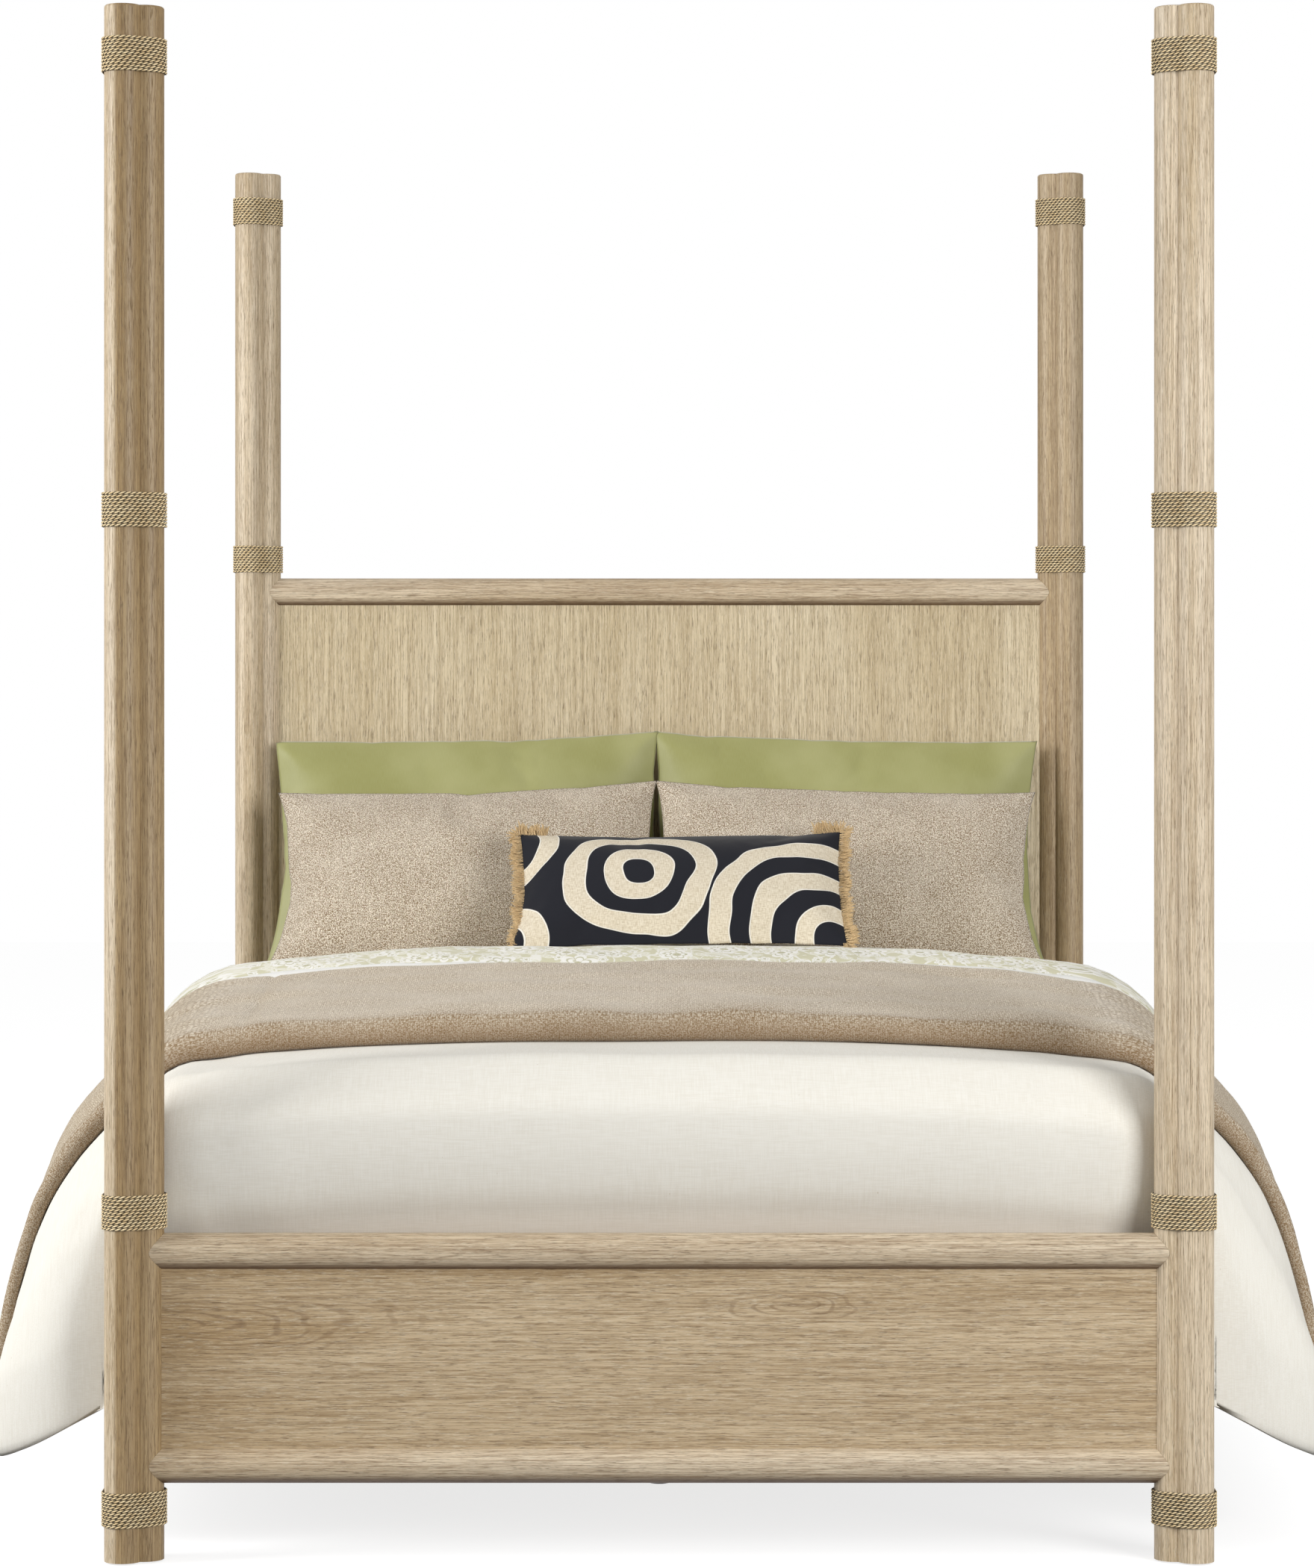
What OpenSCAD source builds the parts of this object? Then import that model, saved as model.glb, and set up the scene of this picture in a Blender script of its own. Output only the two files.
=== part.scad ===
/* [Bed] */
// Width of the mattress and foundation
mattress_w = 1524; // [1300:1:1900]
// Length of the mattress and foundation
mattress_l = 2032; // [1850:1:2250]
// Distance between the post axes across the bed, beyond the mattress's width
width_room = 64; // [50:1:84]
// Distance between the post axes along the bed, beyond the mattress's length
length_room = 78; // [72:1:100]
// Height of a post's wood above its glide
post_h = 2334; // [2000:1:2500]

/* [Posts] */
// Radius of one pole of a post
pole_r = 28.5; // [27.5:0.5:29.5]
// Distance of a pole's axis from the post's axis
pole_c = 20.7; // [19.7:0.1:21.7]
// Radius of the eased edge at the top of a pole
pole_ease = 4; // [2:0.5:8]
// Glue line between the three poles of a post
glue_line = 0.2; // [0.1:0.05:0.4]
// Thickness of a glide under a post or a leg
glide_t = 3; // [2:0.5:6]
// Radius of a glide
glide_r = 18; // [12:1:20]
// Radius of a glide's pin
glide_pin_r = 2.5; // [2:0.1:4]
// Length of a glide's pin
glide_pin_l = 16; // [10:1:25]

/* [Rope lashings] */
// Thickness of the rope
rope_d = 4.2; // [3.4:0.1:4.2]
// Rise of the rope in one turn
rope_pitch = 4.8; // [4.8:0.1:5.4]
// Turns in one lashing
rope_turns = 11; // [5:1:12]
// Gap between the rope and the wood
rope_gap = 0.3; // [0.2:0.05:0.5]
// Middle of the lashing near the floor
lash_foot_z = 82; // [70:1:84]
// Middle of the lashing above the footboard
lash_board_z = 527; // [526:1:560]
// Middle of the lashing above the headboard
lash_mid_z = 1580; // [1576:1:1700]
// Distance from a post's top to the middle of its upper lashing
lash_top_drop = 75; // [50:1:120]

/* [Headboard and footboard] */
// Radius of the round rails
rail_r = 28; // [25:0.5:28]
// Distance of the round rails' axis behind the post axis
rail_back = 0.5; // [0:0.5:2]
// Height of the lower rails' axis
low_rail_z = 145; // [144:1:155]
// Height of the footboard's upper rail's axis
foot_rail_z = 465; // [430:1:466]
// Height of the headboard's upper rail's axis
head_rail_z = 1515; // [1300:1:1516]
// Thickness of the panels
panel_t = 18; // [12:1:20]
// Distance of a panel's front face in front of the post axis
panel_front = 12; // [8:1:13]
// Depth of the grooves that hold the panels
groove_depth = 10; // [6:0.5:12]
// Length of a tenon inside a post
tenon_l = 34; // [25:1:36]
// Thickness of a tenon
tenon_t = 20; // [14:1:24]
// Height of a tenon
tenon_h = 34; // [24:1:36]
// Clearance between pieces that fit into each other
fit_gap = 0.3; // [0.2:0.05:0.4]

/* [Side rails and slats] */
// Thickness of a side rail
side_t = 25; // [20:1:28]
// Height of a side rail
side_h = 180; // [150:1:200]
// Height of a side rail's lower edge
side_z = 160; // [150:1:165]
// Chamfer along a side rail's edges
side_ease = 3; // [1:0.5:6]
// Distance from a post's axis to the flat that a side rail's end meets
side_seat = 40; // [38.5:0.5:42]
// Width of the ledger strips under the slats
ledger_w = 22; // [18:1:30]
// Height of the ledger strips
ledger_h = 36; // [25:1:36]
// Height of the ledger strips' top edge
ledger_top = 202; // [202:1:215]
// Number of slats
slats = 13; // [9:1:13]
// Width of a slat
slat_w = 70; // [50:1:80]
// Thickness of a slat
slat_t = 18; // [14:1:20]
// Distance from the mattress's end to the middle of the slat next to it
slat_end = 104; // [100:1:200]
// Width of the straps that join the slats
strap_w = 25; // [15:1:40]
// Thickness of the straps
strap_t = 1.2; // [0.8:0.1:2]
// Distance of a strap from the bed's middle
strap_x = 480; // [300:10:600]
// Width of the centre beam
beam_w = 70; // [60:1:90]
// Height of the centre beam
beam_h = 40; // [36:1:50]
// Width of a leg under the centre beam
leg_w = 45; // [36:1:55]
// Distance between the legs under the centre beam
leg_pitch = 350; // [250:10:500]
// Radius of the round peg on top of a leg
peg_r = 10; // [6:0.5:12]
// Length of the round peg on top of a leg
peg_l = 22; // [12:1:26]

/* [Fittings] */
// Width of the steel fitting plates
plate_w = 18; // [16:1:18]
// Height of the steel fitting plates
plate_h = 120; // [110:1:130]
// Thickness of the steel fitting plates
plate_t = 3; // [2:0.5:3]
// Thickness of a hook
hook_t = 2.5; // [2:0.1:3]
// Depth that a hook reaches into a post
hook_reach = 14; // [11:1:15]
// Height of a hook's neck
hook_neck = 14; // [10:1:16]
// Drop of a hook behind the slotted plate
hook_drop = 7; // [5:0.5:8]
// Distance between the two hooks of a plate
hook_pitch = 56; // [50:1:60]
// Radius of a screw's shank
screw_r = 2; // [1.5:0.1:2.5]
// Length of a screw
screw_l = 38; // [32:1:44]
// Radius of a screw's head
screw_head_r = 4; // [3.5:0.1:5]
// Screws along one ledger strip
ledger_screws = 7; // [4:1:12]

/* [Foundation and mattress] */
// Height of the foundation
foundation_h = 199; // [150:1:230]
// Height of the mattress
mattress_h = 300; // [200:1:330]
// Radius of the mattress's upright corners
mattress_corner = 70; // [66:1:90]
// Radius of the mattress's long and short edges
mattress_edge = 60; // [56:1:65]

/* [Bedding] */
// Thickness of the duvet on top of the mattress
duvet_t = 38; // [34:1:45]
// Thickness of the duvet where it hangs
duvet_side_t = 26; // [18:1:32]
// Thickness of the folded coverlet at the foot end
coverlet_t = 54; // [35:1:65]
// Thickness of the folded coverlet at its other end
coverlet_head_t = 92; // [70:1:100]
// Thickness of the coverlet, border and quilt where they hang
layer_side_t = 26; // [14:1:34]
// Thickness of the quilt under the pillows
quilt_t = 38; // [25:1:50]
// Thickness of the sheet's border over the quilt's end
border_t = 72; // [50:1:90]
// Thickness of the quilt where it is turned back
quilt_fold_t = 84; // [60:1:95]
// Extra thickness of the roll at the quilt's foot edge
quilt_roll_t = 22; // [0:1:26]
// Length of that roll along the bed
quilt_roll_l = 280; // [240:5:300]
// Distance that the bedding's top sinks towards the mattress's sides
crown_drop = 30; // [10:1:31]
// Half width of the bedding's flat top
crown_flat = 400; // [250:10:500]
// Length past the mattress's edge over which the sinking fades
crown_fade_l = 350; // [250:10:450]
// Length that the duvet hangs down at each side
duvet_drop = 640; // [560:10:650]
// Steepness of a hanging side just past the mattress's edge
drop_angle = 46; // [40:1:55]
// Steepness of a hanging side at its hem
hem_angle = 92; // [84:1:94]
// Distance that the hanging sides puff out
side_puff = 55; // [30:1:80]
// Length from the foot end over which the puff grows
puff_rise_l = 700; // [500:10:900]
// Length to the head end over which the puff fades
puff_fade_l = 550; // [300:10:800]
// Distance that the hanging sides close in at the foot end
foot_tuck = 30; // [0:1:40]
// Length over which they close in
foot_tuck_l = 90; // [60:5:150]
// Play between the duvet's foot end and the footboard's upper rail
duvet_play = 5.2; // [4:0.1:12]
// Side sway of the hanging folds
fold_sway = 10; // [0:1:14]
// Distance between two hanging folds
fold_pitch = 460; // [400:10:600]
// Distance from the foot posts' axis to the coverlet's fold
coverlet_from_foot = 300; // [250:5:400]
// Width of the coverlet along the bed
coverlet_l = 628; // [500:1:640]
// Width of the sheet's border along the bed
border_l = 90; // [60:1:200]
// Distance from the turned-back part of the quilt to the middle of the tan pillows
fold_to_tan = 170; // [150:5:200]

/* [Pillows] */
// Distance from a green pillow's outer end to the mattress's side
green_inset = 23; // [15:1:80]
// Height of a green pillow
green_h = 440; // [400:1:460]
// Greatest thickness of a green pillow
green_t = 140; // [110:1:150]
// Lean of a green pillow
green_lean = 8; // [6:1:14]
// Distance from a tan pillow's outer end to the mattress's side
tan_inset = 37; // [15:1:80]
// Height of a tan pillow
tan_h = 400; // [360:1:420]
// Greatest thickness of a tan pillow
tan_t = 140; // [110:1:150]
// Lean of a tan pillow
tan_lean = 30; // [26:1:32]
// Width of the lumbar cushion
lumbar_w = 604; // [500:1:640]
// Height of the lumbar cushion
lumbar_h = 290; // [240:1:300]
// Greatest thickness of the lumbar cushion
lumbar_t = 110; // [80:1:120]
// Distance of the lumbar cushion from the bed's middle
lumbar_x = 42; // [-60:1:60]
// Lean of the lumbar cushion
lumbar_lean = 44; // [40:1:50]
// Gap between the pillows of a pair
pillow_gap = 6; // [2:1:20]
// Distance from the green pillows to the tan ones, beyond their thickness
tan_ahead = 35; // [30:1:60]
// Distance from the tan pillows to the lumbar cushion, beyond their thickness
lumbar_ahead = 105; // [95:1:130]
// Thickness of a pillow's sewn edge
seam_t = 4; // [2:0.5:8]
// Thickness of the fringe on the lumbar cushion
fringe_t = 12; // [8:1:14]
// Length of the fringe on the lumbar cushion
fringe_l = 13; // [8:1:25]

/* [Hidden] */
function slat_name(i) = str("slat_", i < 10 ? "0" : "", i);
$fn = 48;

// Clearances round the hooks and pins, at the slats' ends and behind the mattress
slot_play = 0.8;
pin_play = 0.3;
slat_play = 2;
headboard_play = 4;

// Places that follow from the sizes above. The origin is on the floor at the bed's middle
post_x = (mattress_w + width_room) / 2;
post_y = (mattress_l + length_room) / 2;
post_top = glide_t + post_h;
lobe_x = post_x - pole_c;
wood_edge = lobe_x - pole_r;
side_x = post_x + pole_c / 2;
side_end = post_y - side_seat - fit_gap;
plate_z = side_z + side_h / 2;
beam_bottom = ledger_top - beam_h;
slat_z = ledger_top + fit_gap;
slat_pitch = (mattress_l - 2 * slat_end) / (slats - 1);
slat_half = side_x - side_t / 2 - slat_play;
strap_z = slat_z + slat_t + fit_gap;
foundation_z = strap_z + strap_t + fit_gap;
mattress_z = foundation_z + foundation_h + fit_gap;
mattress_top = mattress_z + mattress_h;
mattress_head = post_y - panel_front - headboard_play;
mattress_foot = mattress_head - mattress_l;
mattress_y = (mattress_head + mattress_foot) / 2;
wood = "burlywood";

// Heights of a post's lashings. A head post has none where the headboard's panel meets it
lashing_heights = [lash_foot_z, lash_mid_z, post_top - lash_top_drop];

// One pole of a post as a full round with an eased top edge
module pole() {
  rotate_extrude($fn = 96) {
    square([pole_r, post_h - pole_ease]);
    square([pole_r - pole_ease, post_h]);
    translate([pole_r - pole_ease, post_h - pole_ease]) intersection() {
      circle(pole_ease);
      square(pole_ease);
    }
  }
}

// A third of a circle, less half of the glue line along both of its sides
module glue_sector() {
  reach = 4 * pole_r;
  linear_extrude(post_h) translate([glue_line / sqrt(3), 0])
    polygon([[0, 0], [reach, -reach * tan(60)], [reach, reach * tan(60)]]);
}

// Three poles shaped to fit each other and glued, with one of them facing +X
module pole_cluster() {
  for (turn = [0, 120, 240]) rotate(turn) intersection() {
    translate([pole_c, 0, 0]) pole();
    glue_sector();
  }
}

// Cuts for one side rail's slotted plate, hooks and flat, on the +Y side of a post
module side_rail_seat() {
  translate([-pole_c / 2, 0, -glide_t]) {
    translate([-2 * pole_r, side_seat, side_z]) cube([4 * pole_r, 2 * pole_r, side_h]);
    translate([-plate_w / 2 - fit_gap, side_seat - plate_t - fit_gap, plate_z - plate_h / 2 - fit_gap])
      cube([plate_w + 2 * fit_gap, 2 * plate_t, plate_h + 2 * fit_gap]);
    for (z = hook_heights()) hook_room(z);
  }
}

// The hollow behind a slot, in which a hook comes to rest
module hook_room(z) {
  depth = hook_reach - plate_t + 1;
  low = z - hook_neck / 2 - hook_drop - slot_play;
  high = z + hook_neck / 2 + hook_drop + slot_play;
  translate([-hook_t / 2 - slot_play, side_seat - plate_t - depth, low])
    cube([hook_t + 2 * slot_play, depth + plate_t, high - low]);
}

function hook_heights() = [plate_z - hook_pitch / 2, plate_z + hook_pitch / 2];

// Cuts for the tenons and the panel of the headboard or footboard, in the +X pole
module board_seat(top_z) {
  near = pole_c + pole_r - tenon_l - fit_gap;
  for (z = [low_rail_z, top_z])
    translate([near, rail_back - tenon_t / 2 - fit_gap, z - glide_t - tenon_h / 2 - fit_gap])
      cube([2 * pole_r, tenon_t + 2 * fit_gap, tenon_h + 2 * fit_gap]);
  translate([pole_c + pole_r - groove_depth - fit_gap, -panel_front - fit_gap, low_rail_z - glide_t])
    cube([2 * pole_r, panel_t + 2 * fit_gap, top_z - low_rail_z]);
}

// One post. The sign of y says which end of the bed it stands at
module post(x, y, top_z) {
  color(wood) translate([x, y, glide_t]) mirror([x > 0 ? 1 : 0, 0, 0]) difference() {
    pole_cluster();
    board_seat(top_z);
    mirror([0, y > 0 ? 1 : 0, 0]) side_rail_seat();
    translate([0, 0, -1]) cylinder(r = glide_pin_r + pin_play, h = glide_pin_l + 2);
  }
}

// Rope lashings. The rope goes round the three poles, straight from pole to pole
// and climbs to the next turn on one side. Each stretch laps a little into the next
rope_lap = 0.06;
lap_angle = 0.8;
rope_reach = pole_r + rope_gap + rope_d / 2 + rope_lap;
rope_side = pole_c * sqrt(3);
rope_climb_d = rope_d + 2 * rope_lap;

module rope_corner(turn) {
  rotate(turn) translate([pole_c, 0, 0]) rotate(-60 - lap_angle)
    rotate_extrude(angle = 120 + 2 * lap_angle, $fn = 72)
      translate([rope_reach, 0]) circle(d = rope_d, $fn = 24);
}

module rope_run(turn, rise) {
  width = rise > 0 ? rope_climb_d : rope_d + rope_lap;
  rotate(turn) translate([pole_c, 0, 0]) rotate(60) translate([rope_reach, 0, 0])
    rotate([0, 90 - atan2(rise, rope_side), 90]) cylinder(d = width, h = norm([rope_side, rise]), $fn = 24);
}

module lashing() {
  for (i = [0:rope_turns - 1]) translate([0, 0, (i - (rope_turns - 1) / 2) * rope_pitch]) {
    for (turn = [120, 240]) {
      rope_corner(turn);
      rope_run(turn, 0);
    }
    rope_corner(0);
    if (i < rope_turns - 1) rope_run(0, rope_pitch);
  }
}

module lashings(x, y) {
  color("tan") for (z = y < 0 ? concat(lashing_heights, [lash_board_z]) : lashing_heights)
    translate([x, y, z]) mirror([x > 0 ? 1 : 0, 0, 0]) lashing();
}

// The rope's middle line through one turn, as points, to measure its gap to the next turn
function rope_arc(turn) = [for (a = [turn - 60:15:turn + 60])
  concat(pole_c * [cos(turn), sin(turn)] + rope_reach * [cos(a), sin(a)], [0])];
function rope_turn_line() = let (
  start = rope_arc(0)[8],
  end = rope_arc(120)[0],
  climb = [for (f = [0:0.1:1]) start + f * (end - start) + [0, 0, f * rope_pitch]]
) concat(climb, [for (p = concat(rope_arc(120), rope_arc(240), rope_arc(360))) p + [0, 0, rope_pitch]]);
function rope_least_gap() = let (line = rope_turn_line())
  min([for (p = line, q = line) norm(p - q - [0, 0, rope_pitch])]) * cos(atan2(rope_pitch, rope_side))
  - rope_climb_d;
echo(str("Least gap between turns of rope, mm: ", rope_least_gap()));

// A round rail between two posts, shaped over their poles, with tenons and a panel groove
module round_rail(y, z, groove_up) {
  color(wood) translate([0, y, z]) difference() {
    union() {
      difference() {
        translate([-lobe_x, rail_back, 0]) rotate([0, 90, 0]) cylinder(r = rail_r, h = 2 * lobe_x, $fn = 96);
        for (side = [-1, 1]) translate([side * lobe_x, 0, -2 * rail_r])
          cylinder(r = pole_r + fit_gap, h = 4 * rail_r, $fn = 96);
      }
      tenon_end = wood_edge + tenon_l;
      translate([-tenon_end, rail_back - tenon_t / 2, -tenon_h / 2]) cube([2 * tenon_end, tenon_t, tenon_h]);
    }
    floor_z = groove_up ? rail_r - groove_depth - fit_gap : -2 * rail_r;
    translate([-post_x, -panel_front - fit_gap, floor_z])
      cube([2 * post_x, panel_t + 2 * fit_gap, rail_r + groove_depth + fit_gap]);
  }
}

// A panel between the lower and the upper rail, held in their grooves and in the posts
module panel(y, top_z) {
  half = wood_edge + groove_depth;
  low = low_rail_z + rail_r - groove_depth;
  high = top_z - rail_r + groove_depth;
  color(wood) translate([-half, y - panel_front, low]) cube([2 * half, panel_t, high - low]);
}

// A side rail with chamfered edges, plate recesses in its ends and holes for the ledger's screws
module side_rail(side) {
  e = side_ease;
  t = side_t / 2;
  color(wood) difference() {
    translate([side * side_x, side_end, side_z]) rotate([90, 0, 0]) linear_extrude(2 * side_end)
      polygon([[-t + e, 0], [t - e, 0], [t, e], [t, side_h - e],
               [t - e, side_h], [-t + e, side_h], [-t, side_h - e], [-t, e]]);
    for (end = [-1, 1]) translate([side * side_x - plate_w / 2 - fit_gap,
                                   end * (side_end - plate_t / 2 - fit_gap) - plate_t / 2 - fit_gap,
                                   plate_z - plate_h / 2 - fit_gap])
      cube([plate_w + 2 * fit_gap, plate_t + 4 * fit_gap, plate_h + 2 * fit_gap]);
    for (y = screw_places()) translate([side * (side_x - side_t / 2 - ledger_w), y, screw_z()])
      rotate([0, side * 90, 0]) cylinder(r = screw_r + pin_play, h = screw_l + 2 * fit_gap);
  }
}

function screw_places() = [for (i = [0:ledger_screws - 1])
  (i / (ledger_screws - 1) - 0.5) * 2 * (side_end - screw_end)];
function screw_z() = ledger_top - ledger_h / 2;
screw_head_t = 2.5;

// Distances from a side rail's end to the ledger's end and to its first screw
ledger_end = 40;
screw_end = 120;

// A strip along the inner face of a side rail, on which the slats lie
module ledger(side) {
  inner = side_x - side_t / 2 - ledger_w;
  length = side_end - ledger_end;
  color(wood) difference() {
    translate([side > 0 ? inner : -inner - ledger_w, -length, ledger_top - ledger_h])
      cube([ledger_w - fit_gap, 2 * length, ledger_h]);
    for (y = screw_places()) translate([side * inner, y, screw_z()]) rotate([0, side * 90, 0]) {
      translate([0, 0, -1]) cylinder(r = screw_r + pin_play, h = ledger_w + 2);
      translate([0, 0, -1]) cylinder(r = screw_head_r + pin_play, h = screw_head_t + pin_play + 1);
    }
  }
}

module ledger_screws() {
  color("silver") for (side = [-1, 1], y = screw_places())
    translate([side * (side_x - side_t / 2 - ledger_w), y, screw_z()]) rotate([0, side * 90, 0]) {
      cylinder(r = screw_r, h = screw_l);
      cylinder(r = screw_head_r, h = screw_head_t);
    }
}

// A plate in the end of each side rail, with two hooks that drop behind the slotted plate
module rail_hook_plates() {
  behind = plate_t + 2 * fit_gap;
  color("silver") for (side = [-1, 1], end = [-1, 1])
    translate([side * side_x, 0, 0]) mirror([0, end > 0 ? 0 : 1, 0]) {
      translate([-plate_w / 2, side_end - plate_t, plate_z - plate_h / 2]) cube([plate_w, plate_t, plate_h]);
      for (z = hook_heights()) translate([-hook_t / 2, side_end, z - hook_neck / 2]) {
        translate([0, -plate_t / 2, 0]) cube([hook_t, hook_reach + plate_t / 2, hook_neck]);
        translate([0, behind, -hook_drop]) cube([hook_t, hook_reach - behind, hook_neck + hook_drop]);
      }
    }
}

// A slotted plate let into each post's flat
module post_slot_plates() {
  color("silver") for (side = [-1, 1], end = [-1, 1])
    translate([side * side_x, 0, 0]) mirror([0, end > 0 ? 0 : 1, 0]) difference() {
      translate([-plate_w / 2, post_y - side_seat, plate_z - plate_h / 2]) cube([plate_w, plate_t, plate_h]);
      for (z = hook_heights())
        translate([-hook_t / 2 - slot_play, post_y - side_seat - 1, z - hook_neck / 2 - fit_gap])
          cube([hook_t + 2 * slot_play, plate_t + 2, hook_neck + hook_drop + fit_gap + slot_play]);
    }
}

// A beam along the middle, saddled on the lower rails, with holes for the legs' pegs
module center_beam() {
  half = post_y + panel_front - panel_t - fit_gap;
  head_half = post_y - panel_front - fit_gap;
  color(wood) difference() {
    translate([-beam_w / 2, -half, beam_bottom]) cube([beam_w, half + head_half, beam_h]);
    for (y = [-post_y, post_y]) translate([0, y + rail_back, low_rail_z]) rotate([0, 90, 0])
      cylinder(r = rail_r + fit_gap, h = 2 * beam_w, center = true, $fn = 96);
    for (y = leg_places()) translate([0, y, beam_bottom - 1])
      cylinder(r = peg_r + fit_gap, h = peg_l + 1 + fit_gap);
  }
}

function leg_places() = [-leg_pitch, 0, leg_pitch];

module center_leg(y) {
  color(wood) difference() {
    union() {
      translate([-leg_w / 2, y - leg_w / 2, glide_t]) cube([leg_w, leg_w, beam_bottom - glide_t]);
      translate([0, y, beam_bottom - 1]) cylinder(r = peg_r, h = peg_l + 1);
    }
    translate([0, y, 0]) cylinder(r = glide_pin_r + pin_play, h = glide_t + glide_pin_l + 1);
  }
}

// A round glide with a pin that holds it in the wood above
module glide(x, y) {
  translate([x, y, 0]) {
    cylinder(r = glide_r, h = glide_t);
    cylinder(r = glide_pin_r, h = glide_t + glide_pin_l);
  }
}

module post_glides() {
  color("dimgray") for (x = [-post_x, post_x], y = [-post_y, post_y]) glide(x, y);
}

module leg_glides() {
  color("dimgray") for (y = leg_places()) glide(0, y);
}

function slat_place(i) = (i - (slats + 1) / 2) * slat_pitch;

module slat(i) {
  color("wheat") translate([-slat_half, slat_place(i) - slat_w / 2, slat_z])
    cube([2 * slat_half, slat_w, slat_t]);
}

module slat_straps() {
  half = slat_place(slats) + slat_w / 2;
  color("beige") for (x = [-strap_x, strap_x])
    translate([x - strap_w / 2, -half, strap_z]) cube([strap_w, 2 * half, strap_t]);
}

// A rectangle with round corners, its middle at the origin
module round_rectangle(w, l, r) {
  square([w - 2 * r, l], center = true);
  square([w, l - 2 * r], center = true);
  for (x = [-1, 1], y = [-1, 1]) translate([x * (w / 2 - r), y * (l / 2 - r)]) circle(r);
}

module foundation() {
  color("whitesmoke") translate([0, mattress_y, foundation_z])
    linear_extrude(foundation_h) round_rectangle(mattress_w, mattress_l, mattress_corner);
}

// Round along its upright corners and along all of its long and short edges
module mattress() {
  mid_z = mattress_z + mattress_h / 2;
  color("white") translate([0, mattress_y, mid_z]) intersection() {
    linear_extrude(mattress_h, center = true) round_rectangle(mattress_w, mattress_l, mattress_corner);
    rotate([90, 0, 0]) linear_extrude(2 * mattress_l, center = true)
      round_rectangle(mattress_w, mattress_h, mattress_edge);
    rotate([90, 0, 90]) linear_extrude(2 * mattress_w, center = true)
      round_rectangle(mattress_l, mattress_h, mattress_edge);
  }
}

// Draped bedding. A path runs from the mattress's edge over its shoulder and down the side:
// its steepness grows from 0 to drop_angle over the shoulder and on to hem_angle at the hem
shoulder = 45;
shoulder_steps = 3;
drop_steps = 6;
edge_inset = 50;
path_steps = shoulder_steps + drop_steps;
layer_steps = path_steps - 1;
top_steps = 8;

// Lengths along the path over which the layers grow thinner and the puff comes and goes
thin_l = 160;
share_rise_l = 150;
share_fade_l = 300;

// Play between the cloths and at their ends
cloth_foot_play = 2;
cloth_head_play = 5;
layer_play = 3;
hem_play = 1.5;

function ramp(a) = a <= 0 ? 0 : a >= 1 ? 1 : a * a * (3 - 2 * a);
function along(k) = k <= shoulder_steps ? shoulder * k / shoulder_steps
  : shoulder + duvet_drop * (k - shoulder_steps) / drop_steps;
function steepness(s) = s <= shoulder ? drop_angle * s / shoulder
  : drop_angle + (hem_angle - drop_angle) * pow((s - shoulder) / duvet_drop, 1.2);
function path_step(k) = let (
  a = steepness((along(k) + along(k + 1)) / 2),
  d = along(k + 1) - along(k)
) [d * cos(a), -d * sin(a)];
drape_path = [for (k = 0, p = [mattress_w / 2 - edge_inset, mattress_top + fit_gap];
                   k <= path_steps; p = p + path_step(k), k = k + 1) p];

// Rows of the cloth across the bed, from the foot end to the head end
cloth_foot = -post_y + pole_c + pole_r + cloth_foot_play;
cloth_head = post_y - pole_c - pole_r - cloth_head_play;
cloth_rows = 20;
function row_y(i) = cloth_foot + (cloth_head - cloth_foot) * i / cloth_rows;
function rows_between(from, to) = concat([from],
  [for (i = [0:cloth_rows]) if (row_y(i) > from + 15 && row_y(i) < to - 15) row_y(i)], [to]);

// How far the hanging sides stand out beyond the path at each row, with their folds
function puff_at(y) = side_puff * ramp((y - cloth_foot) / puff_rise_l)
    * (1 - 0.5 * ramp(1 - (cloth_head - y) / puff_fade_l))
  - foot_tuck * (1 - ramp((y - cloth_foot) / foot_tuck_l))
  + fold_sway * (sin(360 * y / fold_pitch) + 0.5 * sin(590 * y / fold_pitch + 40));
puff_table = [for (i = [0:cloth_rows]) [row_y(i), puff_at(row_y(i))]];
function puff_share(s) = ramp(s / share_rise_l) * (1 - 0.45 * ramp(s / share_fade_l - 1));

// The bedding's top is a low crown. Only what lies on the mattress itself, at no thickness, stays level
function top_sink(x) = crown_drop
  * pow(max(0, (abs(x) - crown_flat) / (drape_path[0].x - crown_flat)), 1.6);
function side_sink(k) = crown_drop * (1 - ramp(along(k) / crown_fade_l));

// A point at the given thickness above the path, on the left (-1) or right (1) side
function side_point(y, k, side, up) = let (
  a = steepness(along(k)),
  x = drape_path[k].x + up * sin(a) + lookup(y, puff_table) * puff_share(along(k))
) [side * x, y, drape_path[k].y + up * cos(a) - (up > 0 ? side_sink(k) : 0)];
function top_point(y, m, up) = let (x = drape_path[0].x * (2 * m / top_steps - 1))
  [x, y, drape_path[0].y + up - (up > 0 ? top_sink(x) : 0)];

// One row of a layer, hem to hem. heights holds its thickness at each step of the path
function cloth_row(y, heights) = concat(
  [for (k = [len(heights) - 1:-1:0]) side_point(y, k, -1, heights[k])],
  [for (m = [1:top_steps - 1]) top_point(y, m, heights[0])],
  [for (k = [0:len(heights) - 1]) side_point(y, k, 1, heights[k])]);

// Thickness at each step of the path, going over from top to side past the shoulder
function blend(top, side, steps) = [for (k = [0:steps]) top + (side - top) * ramp(along(k) / thin_l)];
duvet_over = blend(duvet_t, duvet_side_t, path_steps);
function above(heights, extra) = [for (k = [0:len(extra) - 1]) heights[k] + extra[k]];
layer_gap = blend(fit_gap, hem_play, layer_steps);
layer_under = above(duvet_over, layer_gap);

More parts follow.
